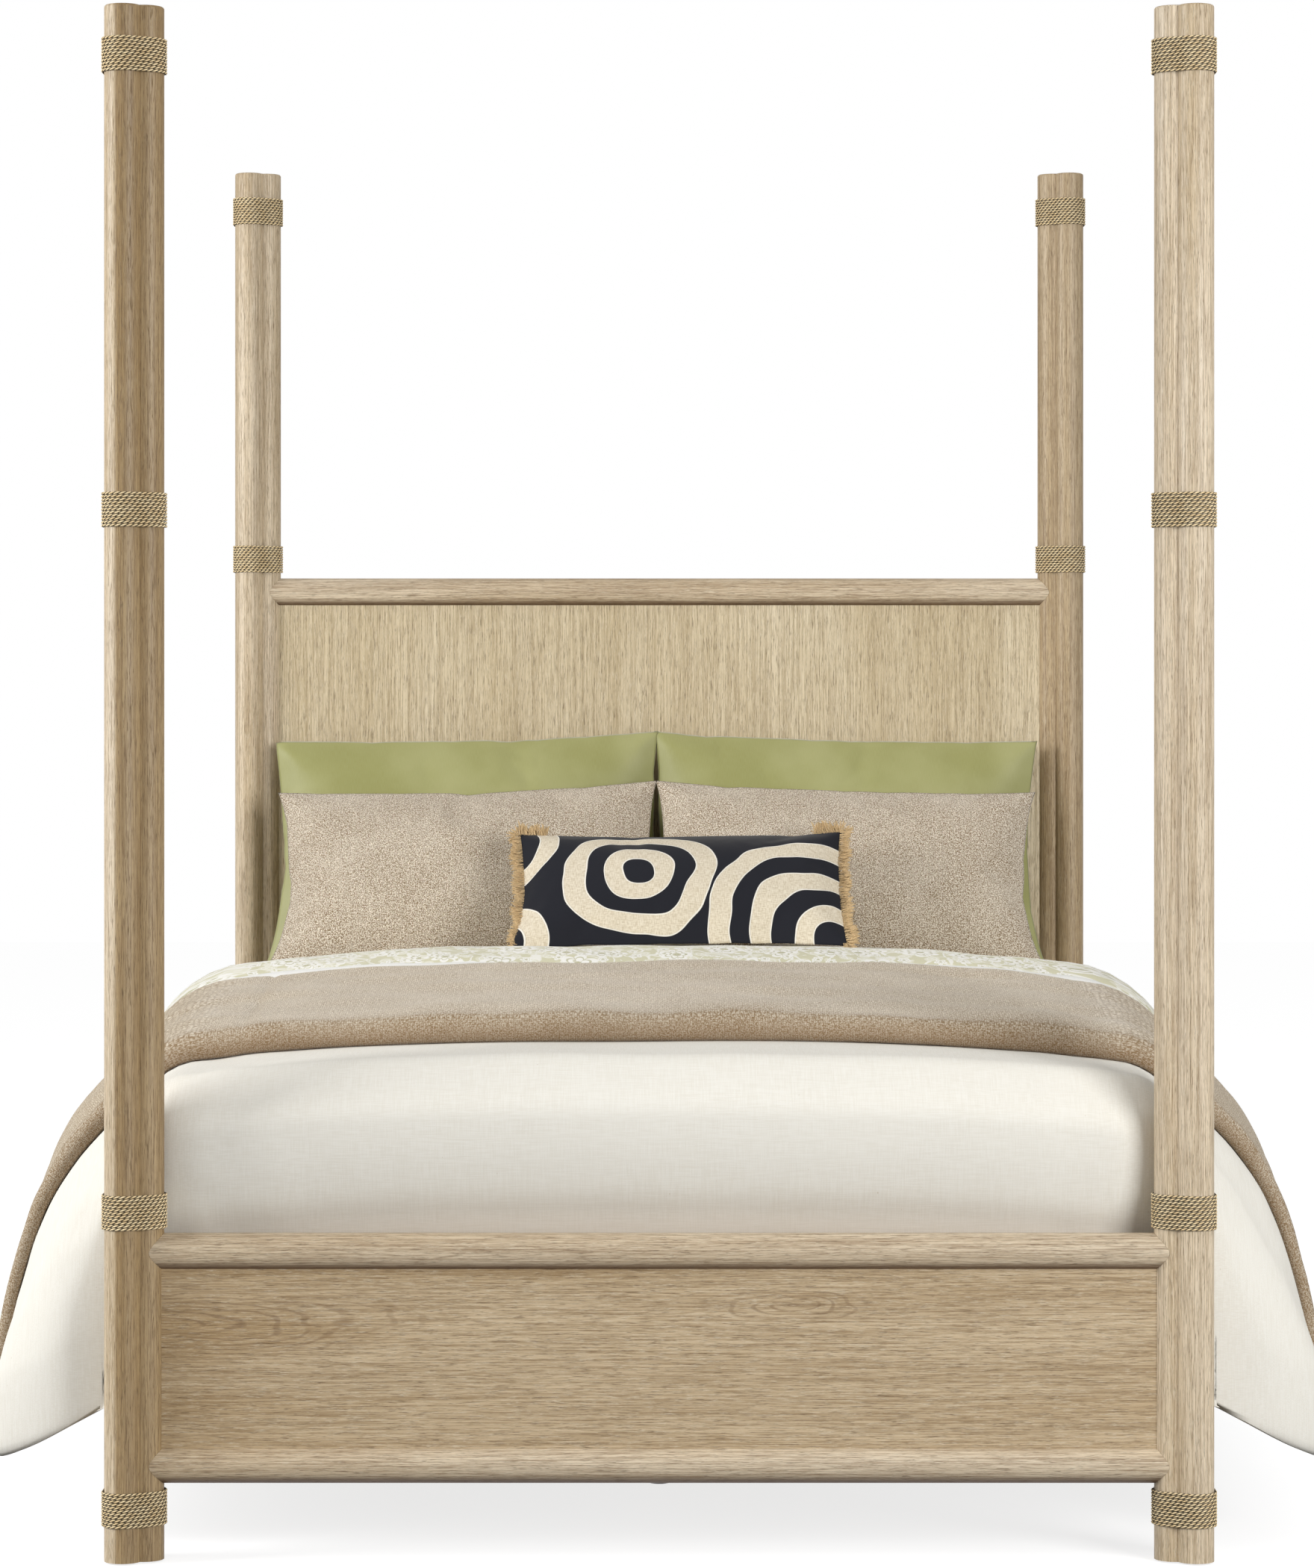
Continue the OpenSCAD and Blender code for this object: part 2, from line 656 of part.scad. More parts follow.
// A closed solid between an upper and a lower grid of points, each a list of equal rows
module quilted_solid(upper, lower) {
  rows = len(upper);
  cols = len(upper[0]);
  n = rows * cols;
  function at(i, j) = i * cols + j;
  edge = concat(
    [for (j = [0:cols - 2]) at(0, j)],
    [for (i = [0:rows - 2]) at(i, cols - 1)],
    [for (j = [cols - 1:-1:1]) at(rows - 1, j)],
    [for (i = [rows - 1:-1:1]) at(i, 0)]);
  m = len(edge);
  polyhedron(
    points = concat([for (row = upper) each row], [for (row = lower) each row]),
    faces = concat(
      [for (i = [0:rows - 2], j = [0:cols - 2]) each [
        [at(i, j), at(i + 1, j), at(i + 1, j + 1)],
        [at(i, j), at(i + 1, j + 1), at(i, j + 1)],
        [n + at(i, j), n + at(i + 1, j + 1), n + at(i + 1, j)],
        [n + at(i, j), n + at(i, j + 1), n + at(i + 1, j + 1)]]],
      [for (k = [0:m - 1]) each [
        [edge[k], edge[(k + 1) % m], n + edge[(k + 1) % m]],
        [edge[k], n + edge[(k + 1) % m], n + edge[k]]]]));
}

// Play between the duvet's foot end and the foot posts
post_play = 6;

// The duvet's sides close in towards the side rails at the foot end
rail_play = 28;
corner_in = side_x + side_t / 2 + rail_play;
function closed_in(row, share) = [for (p = row) abs(p.x) < corner_in ? p
  : let (pull = share * (abs(p.x) - corner_in)) [sign(p.x) * (abs(p.x) - pull), p.y, p.z + pull / 2]];

module duvet() {
  rows = [for (i = [0:cloth_rows]) row_y(i)];
  flat = [for (k = [0:path_steps]) 0];
  front_half = wood_edge - post_play;
  front_y = mattress_foot - fit_gap;
  front_t = front_y + post_y - rail_back - rail_r - duvet_play;
  front_low = foot_rail_z - rail_r;
  front_high = mattress_top + duvet_t / 2;
  color("ivory") {
    quilted_solid([for (y = rows) cloth_row(y, duvet_over)],
                  [for (i = [0:cloth_rows]) closed_in(cloth_row(rows[i], flat), i == 0 ? 1 : 0)]);
    translate([-front_half, front_y, 0]) rotate([90, 0, 90]) linear_extrude(2 * front_half) {
      translate([-front_t, front_low]) square([front_t, front_high - front_t / 2 - front_low]);
      translate([-front_t / 2, front_high - front_t / 2]) circle(d = front_t);
    }
  }
}

// The folded coverlet has a thick round edge towards the foot end
module coverlet() {
  foot = -post_y + coverlet_from_foot;
  head = foot + coverlet_l;
  round_part = 40;
  rows = concat([foot, foot + round_part / 3], rows_between(foot + round_part, head));
  function fullness(y) = 0.55 + 0.45 * sqrt(1 - pow(1 - min(1, (y - foot) / round_part), 2));
  function over(y) = fullness(y)
    * blend(coverlet_t + (coverlet_head_t - coverlet_t) * ramp((y - foot) / coverlet_l), layer_side_t, layer_steps);
  color("tan") quilted_solid([for (y = rows) cloth_row(y, above(layer_under, over(y)))],
                             [for (y = rows) cloth_row(y, layer_under)]);
}

border_foot = -post_y + coverlet_from_foot + coverlet_l + layer_play;
quilt_foot = border_foot + border_l + layer_play;
fold_slope_l = 70;

// The white end of the sheet, turned back over the quilt's edge
module sheet_border() {
  rows = rows_between(border_foot, border_foot + border_l);
  over = above(layer_under, blend(border_t, layer_side_t, layer_steps));
  color("white") quilted_solid([for (y = rows) cloth_row(y, over)], [for (y = rows) cloth_row(y, layer_under)]);
}

// The quilt is turned back along its foot end and lies flat under the pillows
module floral_quilt() {
  roll_places = [for (share = [0:0.25:0.75]) quilt_foot + share * quilt_roll_l];
  rows = concat(roll_places, rows_between(quilt_foot + quilt_roll_l, cloth_head));
  function roll(y) = max(0, sin(180 * (y - quilt_foot) / quilt_roll_l)) * (y < quilt_foot + quilt_roll_l ? 1 : 0);
  function top(y) = quilt_fold_t + (quilt_t - quilt_fold_t) * ramp((y - tan_y + fold_to_tan) / fold_slope_l)
    + quilt_roll_t * roll(y);
  function over(y) = above(layer_under, blend(top(y), layer_side_t, layer_steps));
  color("darkkhaki") quilted_solid([for (y = rows) cloth_row(y, over(y))],
                                   [for (y = rows) cloth_row(y, layer_under)]);
}

// Pillows. u runs across and v up the pillow, both from -1 to 1 and closer together near its edges
pillow_cols = 7;
pillow_rows = 5;
draw_in = 0.045;
function spread(n) = [for (k = [-n:n]) sin(90 * k / n)];
function crown(a) = pow(1 - pow(abs(a), 2.4), 0.62);
function pillow_point(u, v, w, h, t, face) = [
  w / 2 * u * (1 - draw_in * (1 - v * v)),
  h / 2 * v * (1 - draw_in * (1 - u * u)),
  face * (seam_t / 2 + (t - seam_t) / 2 * crown(u) * crown(v))];

// Stands a point of the pillow up, leaning back by the given angle
function leaned(p, lean) = [p.x, p.y * sin(lean) - p.z * cos(lean), p.y * cos(lean) + p.z * sin(lean)];
function pillow_face(w, h, t, lean, face) = [for (v = spread(pillow_rows))
  [for (u = spread(pillow_cols)) leaned(pillow_point(u, v, w, h, t, face), lean)]];
function all_points(grid) = [for (row = grid) each row];
function lowest(w, h, t, lean) = min([for (p = all_points(pillow_face(w, h, t, lean, -1))) p.z]);
function rearmost(w, h, t, lean) = max([for (p = all_points(pillow_face(w, h, t, lean, -1))) p.y]);

module pillow(w, h, t, lean) {
  quilted_solid(pillow_face(w, h, t, lean, 1), pillow_face(w, h, t, lean, -1));
}

// The pillows stand on the quilt, one row leaning on the next and the last on the headboard
quilt_top = drape_path[0].y + layer_under[0] + quilt_t;
fold_top = drape_path[0].y + layer_under[0] + quilt_fold_t;
green_w = (mattress_w - pillow_gap) / 2 - green_inset;
tan_w = (mattress_w - pillow_gap) / 2 - tan_inset;
pillow_play = 1;
green_y = post_y - panel_front - pillow_play - rearmost(green_w, green_h, green_t, green_lean);
tan_y = green_y - (green_t + tan_t) / 2 - tan_ahead;
lumbar_y = tan_y - (tan_t + lumbar_t) / 2 - lumbar_ahead;

module green_pillow(side) {
  color("darkkhaki")
    translate([side * (green_w + pillow_gap) / 2, green_y,
               quilt_top + fit_gap - lowest(green_w, green_h, green_t, green_lean)])
      pillow(green_w, green_h, green_t, green_lean);
}

module tan_pillow(side) {
  color("tan")
    translate([side * (tan_w + pillow_gap) / 2, tan_y,
               quilt_top + fit_gap - lowest(tan_w, tan_h, tan_t, tan_lean)])
      pillow(tan_w, tan_h, tan_t, tan_lean);
}

lumbar_z = fold_top + fit_gap - lowest(lumbar_w, lumbar_h, lumbar_t, lumbar_lean);

module lumbar_cushion() {
  color("linen") translate([lumbar_x, lumbar_y, lumbar_z]) pillow(lumbar_w, lumbar_h, lumbar_t, lumbar_lean);
}

// A band of fringe along each short end, following the sewn edge
module lumbar_fringe() {
  // Points along the short end, out from the seam
  function end_point(side, v, out, face) = let (
    seam = pillow_point(side, v, lumbar_w, lumbar_h, lumbar_t, 0)
  ) leaned([seam.x + side * out, seam.y, face * fringe_t / 2], lumbar_lean);
  color("peru") for (side = [-1, 1]) translate([lumbar_x, lumbar_y, lumbar_z]) {
    outs = side > 0 ? [fit_gap, fit_gap + fringe_l] : [fit_gap + fringe_l, fit_gap];
    quilted_solid([for (v = spread(pillow_rows)) [for (out = outs) end_point(side, v, out, 1)]],
                  [for (v = spread(pillow_rows)) [for (out = outs) end_point(side, v, out, -1)]]);
  }
}

post(-post_x, -post_y, foot_rail_z);  // post_foot_left
post(post_x, -post_y, foot_rail_z);  // post_foot_right
post(-post_x, post_y, head_rail_z);  // post_head_left
post(post_x, post_y, head_rail_z);  // post_head_right
lashings(-post_x, -post_y);  // lashings_foot_left
lashings(post_x, -post_y);  // lashings_foot_right
lashings(-post_x, post_y);  // lashings_head_left
lashings(post_x, post_y);  // lashings_head_right
round_rail(-post_y, foot_rail_z, false);  // footboard_top_rail
panel(-post_y, foot_rail_z);  // footboard_panel
round_rail(-post_y, low_rail_z, true);  // footboard_bottom_rail
round_rail(post_y, head_rail_z, false);  // headboard_top_rail
panel(post_y, head_rail_z);  // headboard_panel
round_rail(post_y, low_rail_z, true);  // headboard_bottom_rail
side_rail(-1);  // side_rail_left
side_rail(1);  // side_rail_right
ledger(-1);  // ledger_left
ledger(1);  // ledger_right
ledger_screws();
rail_hook_plates();
post_slot_plates();
center_beam();
center_leg(-leg_pitch);  // center_leg_foot
center_leg(0);  // center_leg_middle
center_leg(leg_pitch);  // center_leg_head
post_glides();
leg_glides();
slat_straps();
for (i = [1:slats]) slat(i);
foundation();
mattress();
duvet();
coverlet();
sheet_border();
floral_quilt();
green_pillow(-1);  // green_pillow_left
green_pillow(1);  // green_pillow_right
tan_pillow(-1);  // tan_pillow_left
tan_pillow(1);  // tan_pillow_right
lumbar_cushion();
lumbar_fringe();
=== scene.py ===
"""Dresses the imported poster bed: limed oak, laid rope, linen and cotton bedding, and a fringed cushion."""
import math
import random

import bpy
import numpy as np
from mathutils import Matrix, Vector


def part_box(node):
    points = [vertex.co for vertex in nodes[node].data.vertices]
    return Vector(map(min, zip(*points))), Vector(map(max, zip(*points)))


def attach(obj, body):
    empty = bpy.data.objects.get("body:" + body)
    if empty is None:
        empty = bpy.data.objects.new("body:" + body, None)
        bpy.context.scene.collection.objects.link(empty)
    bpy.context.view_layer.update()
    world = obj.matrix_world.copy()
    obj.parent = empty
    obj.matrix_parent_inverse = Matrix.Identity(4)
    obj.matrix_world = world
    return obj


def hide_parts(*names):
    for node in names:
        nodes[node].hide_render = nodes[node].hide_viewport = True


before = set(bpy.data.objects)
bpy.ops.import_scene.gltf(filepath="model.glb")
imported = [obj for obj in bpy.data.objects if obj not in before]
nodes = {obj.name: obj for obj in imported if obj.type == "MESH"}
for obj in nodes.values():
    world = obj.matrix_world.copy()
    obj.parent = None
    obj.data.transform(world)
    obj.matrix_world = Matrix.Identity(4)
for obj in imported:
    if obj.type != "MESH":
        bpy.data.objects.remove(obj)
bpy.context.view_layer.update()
scene = bpy.context.scene

# Sizes of the bed in metres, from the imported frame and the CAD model's named values
foot_low, foot_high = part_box("post_foot_left")
POLE_R = 0.0285
POLE_C = 0.0207
POST_X = -(foot_low.x + POLE_C / 2 + POLE_R)
POST_Y = -(foot_low.y + foot_high.y) / 2
mattress_low, mattress_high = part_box("mattress")
DUVET_T = 0.038
DUVET_SIDE_T = 0.026
LAYER_SIDE_T = 0.026
FIT = 0.0003


def linear(hex_colour):
    """A colour written as in a picture editor, as the linear values that the shaders take."""
    parts = [int(hex_colour[i:i + 2], 16) / 255 for i in (1, 3, 5)]
    return tuple(c / 12.92 if c <= 0.04045 else ((c + 0.055) / 1.055) ** 2.4 for c in parts) + (1.0,)


# Shader building


class Nodes:
    """A node tree under construction. Inputs may be sockets, plain values or colours such as "#dac5a4"."""

    def __init__(self, tree):
        self.tree = tree

    def node(self, kind, **settings):
        made = self.tree.nodes.new(kind)
        for key, value in settings.items():
            setattr(made, key, value)
        return made

    def put(self, socket, value):
        if isinstance(value, bpy.types.NodeSocket):
            self.tree.links.new(value, socket)
        else:
            socket.default_value = linear(value) if isinstance(value, str) else value

    def math(self, operation, a, b=0.0, c=0.0):
        made = self.node("ShaderNodeMath", operation=operation)
        for socket, value in zip(made.inputs, (a, b, c)):
            self.put(socket, value)
        return made.outputs[0]

    def times(self, a, b):
        return self.math("MULTIPLY", a, b)

    def plus(self, a, b):
        return self.math("ADD", a, b)

    def minus(self, a, b):
        return self.math("SUBTRACT", a, b)

    def size(self, a):
        return self.math("ABSOLUTE", a)

    def larger(self, a, b):
        return self.math("MAXIMUM", a, b)

    def vector(self, operation, a, b=(0, 0, 0)):
        made = self.node("ShaderNodeVectorMath", operation=operation)
        self.put(made.inputs[0], a)
        self.put(made.inputs[1], b)
        return made.outputs["Value" if operation == "LENGTH" else "Vector"]

    def place(self):
        return self.node("ShaderNodeTexCoord").outputs["Object"]

    def flat(self):
        return self.node("ShaderNodeTexCoord").outputs["UV"]

    def scaled(self, vector, scale, shift=(0, 0, 0), turn=(0, 0, 0)):
        made = self.node("ShaderNodeMapping")
        self.put(made.inputs["Vector"], vector)
        made.inputs["Scale"].default_value = np.broadcast_to(scale, 3)
        made.inputs["Location"].default_value = shift
        made.inputs["Rotation"].default_value = turn
        return made.outputs[0]

    def noise(self, vector, scale=1.0, detail=2.0, roughness=0.5, distortion=0.0):
        """Noise over a vector, with one scale for each axis or one for all."""
        made = self.node("ShaderNodeTexNoise")
        self.put(made.inputs["Vector"], self.scaled(vector, scale))
        for key, value in (("Scale", 1.0), ("Detail", detail), ("Roughness", roughness),
                           ("Distortion", distortion)):
            made.inputs[key].default_value = value
        return made.outputs["Fac"]

    def step(self, value, low, high, out_low=0.0, out_high=1.0, curve="SMOOTHSTEP"):
        made = self.node("ShaderNodeMapRange", interpolation_type=curve)
        for socket, number in zip(made.inputs, (value, low, high, out_low, out_high)):
            self.put(socket, number)
        return made.outputs[0]

    def mix(self, share, a, b, blend="MIX"):
        made = self.node("ShaderNodeMix", data_type="RGBA", blend_type=blend)
        self.put(made.inputs[0], share)
        self.put(made.inputs[6], a)
        self.put(made.inputs[7], b)
        return made.outputs[2]

    def tinted(self, colour, *tints):
        """The colour under tints, each with a value, the levels between which it comes in, its share and
        its colour."""
        for value, low, high, share, tint in tints:
            colour = self.mix(self.times(self.step(value, low, high), share), colour, tint)
        return colour

    def split(self, vector):
        made = self.node("ShaderNodeSeparateXYZ")
        self.put(made.inputs[0], vector)
        return made.outputs

    def join(self, x, y, z=0.0):
        made = self.node("ShaderNodeCombineXYZ")
        for socket, value in zip(made.inputs, (x, y, z)):
            self.put(socket, value)
        return made.outputs[0]


class Shader(Nodes):
    """A material under construction."""

    def __init__(self, name, roughness=0.8, sheen=0.0, specular=0.5):
        self.material = bpy.data.materials.new(name)
        self.material.use_nodes = True
        super().__init__(self.material.node_tree)
        self.tree.nodes.clear()
        self.bsdf = self.node("ShaderNodeBsdfPrincipled")
        self.bsdf.inputs["Roughness"].default_value = roughness
        self.bsdf.inputs["Specular IOR Level"].default_value = specular
        if sheen:
            self.bsdf.inputs["Sheen Weight"].default_value = sheen
            self.bsdf.inputs["Sheen Roughness"].default_value = 0.4
        output = self.node("ShaderNodeOutputMaterial")
        self.tree.links.new(self.bsdf.outputs[0], output.inputs["Surface"])

    def bump(self, height, distance, strength=1.0):
        made = self.node("ShaderNodeBump")
        made.inputs["Strength"].default_value = strength
        made.inputs["Distance"].default_value = distance
        self.put(made.inputs["Height"], height)
        before = self.bsdf.inputs["Normal"]
        if before.is_linked:
            self.tree.links.new(before.links[0].from_socket, made.inputs["Normal"])
        self.tree.links.new(made.outputs[0], before)

    def finish(self, colour, roughness=None):
        self.put(self.bsdf.inputs["Base Color"], colour)
        if roughness is not None:
            self.put(self.bsdf.inputs["Roughness"], roughness)
        return self.material


def oak(name, along, light="#dac5a4", mid="#c0a680", dark="#85683f", shift=(0, 0, 0), figure=None,
        pieces=None):
    """Limed oak with fine open pores and chalky flecks along the grain, which runs along X, Y or Z. figure
    adds the arches of a flat-sawn board. pieces may move the grain, and deepens the colour in places,
    mostly as painted shade."""
    s = Shader(name, roughness=0.5, specular=0.5)
    place = s.scaled(s.place(), 1, shift)
    if pieces:
        place, tone, deeper = pieces(s, place)

    def grain(across_scale, along_scale, **more):
        return s.noise(place, [along_scale if axis == along else across_scale for axis in "XYZ"], **more)

    broad = grain(8, 0.8, detail=2)
    band = grain(70, 1.5, detail=3, roughness=0.6, distortion=0.3)
    streak = grain(430, 5, detail=3, roughness=0.6, distortion=0.2)
    fine = grain(800, 22, detail=2, roughness=0.7)
    pore = grain(900, 40, detail=2, roughness=0.75)
    chalk = grain(560, 50, detail=3, roughness=0.75)
    colour = s.tinted(s.mix(s.step(broad, 0.3, 0.7), light, mid),
                      (band, 0.42, 0.72, 0.26, dark), (streak, 0.42, 0.64, 0.46, dark),
                      (fine, 0.48, 0.66, 0.55, dark), (chalk, 0.5, 0.72, 0.5, "#e6dbc4"))
    if figure:
        colour = s.mix(s.times(figure(s, place), 0.5), colour, "#7d6142")
    colour = s.tinted(colour, (pore, 0.55, 0.68, 0.65, "#634d33"))
    if pieces:
        # Deeper colour from pieces, mostly painted shade
        colour = s.mix(tone, colour, deeper, "MULTIPLY")
    s.bump(s.minus(1.0, s.step(pore, 0.55, 0.68)), 0.0003, 0.6)
    s.bump(streak, 0.0004, 0.4)
    return s.finish(colour, s.step(pore, 0.5, 0.7, 0.47, 0.7))


def pole_by_pole(s, place):
    """The grain moved by a step of its own in each pole of each post, how much deeper the colour is there,
    and the colour that deepens it. The foot-left post is painted darker as shade, except for a painted
    highlight along its outer edge, and the head-right post takes a deeper tone."""
    x, y, _ = s.split(place)
    inward = s.minus(POST_X, s.size(x))
    outward = s.minus(s.size(y), POST_Y)
    turned = s.plus(s.math("ARCTAN2", outward, inward), math.pi / 3)
    third = s.math("FLOOR", s.math("DIVIDE", turned, math.tau / 3))
    corner = s.plus(s.math("SIGN", x), s.times(s.math("SIGN", y), 2.0))
    step = s.plus(s.times(third, 0.37), s.times(corner, 1.31))
    moved = s.vector("ADD", place, s.join(step, 0.0, s.times(step, 7.0)))
    # Painted highlight: the foot-left post's outer edge is left pale, as where the side light strikes it
    painted_highlight_edge = s.step(s.minus(s.size(x), POST_X), 0.016, 0.023)
    foot_left = s.times(s.step(x, 0.1, -0.1), s.step(y, 0.1, -0.1))
    head_right = s.times(s.step(x, -0.1, 0.1), s.step(y, -0.1, 0.1))
    # Painted shade over the rest of the foot-left post
    darker = s.times(foot_left, s.minus(0.70, s.times(painted_highlight_edge, 0.70)))
    return moved, s.plus(darker, s.times(head_right, 0.41)), "#a88e4c"


RAILS = [f"{board}_{edge}_rail" for board in ("footboard", "headboard") for edge in ("top", "bottom")]


def painted_shade_underneath(s, place):
    """Painted shade: a deeper tone along the underside of each round rail, where shade falls under it."""
    _, _, z = s.split(s.place())
    tone = 0.0
    for name in RAILS:
        low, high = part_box(name)
        under = s.step(z, low.z + 0.30 * (high.z - low.z), low.z + 0.04 * (high.z - low.z))
        below = s.step(z, low.z - 0.004, low.z - 0.002)
        tone = s.larger(tone, s.times(under, below))
    return place, s.times(tone, 0.97), "#795e46"


def ring_group(s, x, z, at, stretch, spacing, reach):
    """Fine uneven rings round a place on the board, drawn out along it and fading away from it."""
    far_x = s.times(s.minus(x, at[0]), stretch)
    far_z = s.minus(z, at[1])
    uneven = s.noise(s.join(s.times(x, 5.0), 0.0, s.times(z, 20.0)), detail=2)
    far = s.plus(s.vector("LENGTH", s.join(far_x, far_z)), s.times(uneven, 0.030))
    wave = s.math("SINE", s.math("DIVIDE", far, spacing / math.tau))
    return s.times(s.step(wave, 0.5, 1.0), s.step(far, reach, reach * 0.5))


def board_arches(s, place):
    """Arches at the board's upper left and a small eye at its upper right."""
    x, _, z = s.split(place)
    left = ring_group(s, x, z, (-0.72, 0.358), 0.15, 0.0074, 0.085)
    right = ring_group(s, x, z, (0.20, 0.386), 0.22, 0.0066, 0.052)
    broken = s.step(s.noise(place, (9, 1, 90), detail=3, roughness=0.7), 0.28, 0.5)
    return s.times(s.larger(left, right), broken)


def dress(material, *names):
    """Gives carried-over CAD nodes a material in place of their plain one."""
    for name in names:
        slots = nodes[name].data.materials
        if not len(slots):
            slots.append(material)
        for i in range(len(slots)):
            nodes[name].material_slots[i].link = "OBJECT"
            nodes[name].material_slots[i].material = material


def weave_cloth(name, tones, pitch, contrast, depth, slub=0.5, run=0.3, deeper=None):
    """Plain weave on flat cloth coordinates in metres. tones are the light, middle and dark thread colours,
    and run is how much a thread's tone changes from one crossing to the next. deeper gives the two places
    up the cloth between which its colour deepens, as painted shade."""
    s = Shader(name, roughness=0.9, sheen=0.25, specular=0.2)
    u, v, _ = s.split(s.flat())
    drift = s.noise(s.flat(), 14, detail=2)
    uu = s.plus(s.math("DIVIDE", u, pitch), s.times(drift, 1.2))
    vv = s.plus(s.math("DIVIDE", v, pitch), s.times(drift, 1.2))
    warp_tone = s.noise(s.join(uu, s.times(vv, run)), scale=2.0, detail=1, roughness=0.5)
    weft_tone = s.noise(s.join(s.times(uu, run), vv), scale=2.0, detail=1, roughness=0.5)
    across = s.math("SINE", s.times(uu, math.pi))
    up = s.math("SINE", s.times(vv, math.pi))
    over = s.step(s.times(across, up), -0.15, 0.15)
    tone = s.plus(s.times(warp_tone, over), s.times(weft_tone, s.minus(1.0, over)))
    crest = s.size(s.times(across, up))
    light, middle, dark = tones
    colour = s.mix(s.step(tone, 0.5 - 0.10 / slub, 0.5 + 0.10 / slub), light, dark)
    colour = s.mix(1.0 - slub, colour, middle)
    blotch = s.noise(s.flat(), 9, detail=3)
    colour = s.tinted(colour, (crest, 0.5, 0.0, contrast, dark), (blotch, 0.4, 0.7, 0.12, light))
    if deeper:
        # Painted shade between the deeper places
        colour = s.tinted(colour, (v, *deeper, 0.6, "#6b4c2b"))
    s.bump(s.plus(crest, s.times(tone, 0.8)), depth, 0.8)
    return s.finish(colour)


def linen(name, light, dark, scale=1.0, deeper=None):
    """Soft linen: fine threads both ways, faint slubs and a few flecks of husk. deeper is as in
    weave_cloth, and paints shade."""
    s = Shader(name, roughness=0.92, sheen=0.06, specular=0.1)
    place = s.place()
    cross = s.noise(place, (900 * scale, 30, 30), detail=1)
    along = s.noise(place, (30, 900 * scale, 900 * scale), detail=1)
    slub = s.noise(place, (14, 320, 320), detail=2, roughness=0.7)
    slub_up = s.noise(place, (320, 14, 14), detail=2, roughness=0.7)
    soft = s.noise(place, 6, detail=3)
    husk = s.noise(place, (210, 210, 110), detail=1)
    thread = s.plus(cross, along)
    colour = s.tinted(light, (thread, 0.8, 1.2, 0.3, dark), (slub, 0.58, 0.74, 0.135, dark),
                      (slub_up, 0.6, 0.74, 0.12, dark), (soft, 0.4, 0.7, 0.25, light),
                      (husk, 0.80, 0.84, 0.35, "#b09b78"))
    if deeper:
        # Painted shade between the deeper places
        colour = s.tinted(colour, (s.split(s.flat())[1], *deeper, 0.4, "#7c5a33"))
    s.bump(thread, 0.0002, 0.35)
    s.bump(s.plus(slub, slub_up), 0.0003, 0.25)
    return s.finish(colour)


def sateen(name, base, shade):
    """Smooth woven cotton with a soft gloss."""
    s = Shader(name, roughness=0.5, sheen=0.3, specular=0.4)
    flat = s.flat()
    soft = s.noise(flat, 4, detail=3)
    thread = s.noise(flat, (1500, 60, 1), detail=1)
    colour = s.tinted(s.mix(s.step(soft, 0.35, 0.65), base, shade), (thread, 0.4, 0.6, 0.08, "#c4c49a"))
    s.bump(thread, 0.0001, 0.3)
    return s.finish(colour)


def petals(s, flat, scale, count, size, shift, seed_turn):
    """Masks of flower shapes strewn over flat cloth: petals, their rims and veins, and their middles."""
    place = s.scaled(flat, scale, shift)
    cells = s.node("ShaderNodeTexVoronoi", feature="F1", distance="EUCLIDEAN")
    cells.inputs["Scale"].default_value = 1.0
    cells.inputs["Randomness"].default_value = 0.75
    s.put(cells.inputs["Vector"], place)
    away = s.vector("SUBTRACT", place, cells.outputs["Position"])
    x, y, _ = s.split(away)
    red, green, _ = s.split(cells.outputs["Color"])
    angle = s.plus(s.math("ARCTAN2", y, x), s.times(red, seed_turn))
    far = s.vector("LENGTH", s.join(x, y))
    lobes = s.size(s.math("COSINE", s.times(angle, count / 2)))
    edge = s.times(s.plus(0.6, s.times(lobes, 0.4)),
                  s.plus(size * 0.8, s.times(green, size * 0.4)))
    ratio = s.math("DIVIDE", far, edge)
    inside = s.step(ratio, 1.0, 0.9)
    rings = s.math("SINE", s.times(ratio, 13.0))
    rim = s.times(inside, s.step(rings, 0.55, 0.9))
    vein = s.times(inside, s.step(lobes, 0.2, 0.05))
    middle = s.step(far, size * 0.26, size * 0.2)
    return inside, rim, vein, middle


def floral(name):
    """White blossoms, leaves and winding stems on a sage ground, printed on cotton."""
    s = Shader(name, roughness=0.88, sheen=0.15, specular=0.2)
    flat = s.flat()
    ground = "#d6d2b4"
    white = "#f7f5ee"
    leaf = "#e6e3cf"
    line = "#bab58f"
    twist = s.noise(flat, 16, detail=2)
    vines = s.node("ShaderNodeTexVoronoi", feature="DISTANCE_TO_EDGE")
    vines.inputs["Scale"].default_value = 1.0
    winding = s.join(s.times(twist, 2.0), s.times(twist, -1.6))
    s.put(vines.inputs["Vector"], s.vector("ADD", s.scaled(flat, 24), winding))
    vine = s.step(vines.outputs["Distance"], 0.06, 0.03)
    leaves, leaf_rim, leaf_vein, _ = petals(s, flat, 26, 2, 0.42, (3.1, 1.7, 0), 9.0)
    small, small_rim, small_vein, small_middle = petals(s, flat, 21, 5, 0.27, (0.4, 5.2, 0), 6.0)
    large, rim, vein, middle = petals(s, flat, 11.0, 6, 0.36, (7.3, 2.9, 0), 6.0)
    colour = ground
    for mask, share, tint in ((vine, 0.85, white), (leaves, 0.9, leaf),
                              (s.larger(leaf_rim, leaf_vein), 0.8, white),
                              (small, 1.0, white), (s.larger(small_rim, small_vein), 0.5, line),
                              (large, 1.0, white), (s.larger(rim, vein), 0.75, line),
                              (s.larger(middle, small_middle), 0.7, line)):
        colour = s.mix(s.times(mask, share), colour, tint)
    thread = s.noise(flat, 900, detail=1)
    s.bump(thread, 0.0002, 0.4)
    return s.finish(colour)


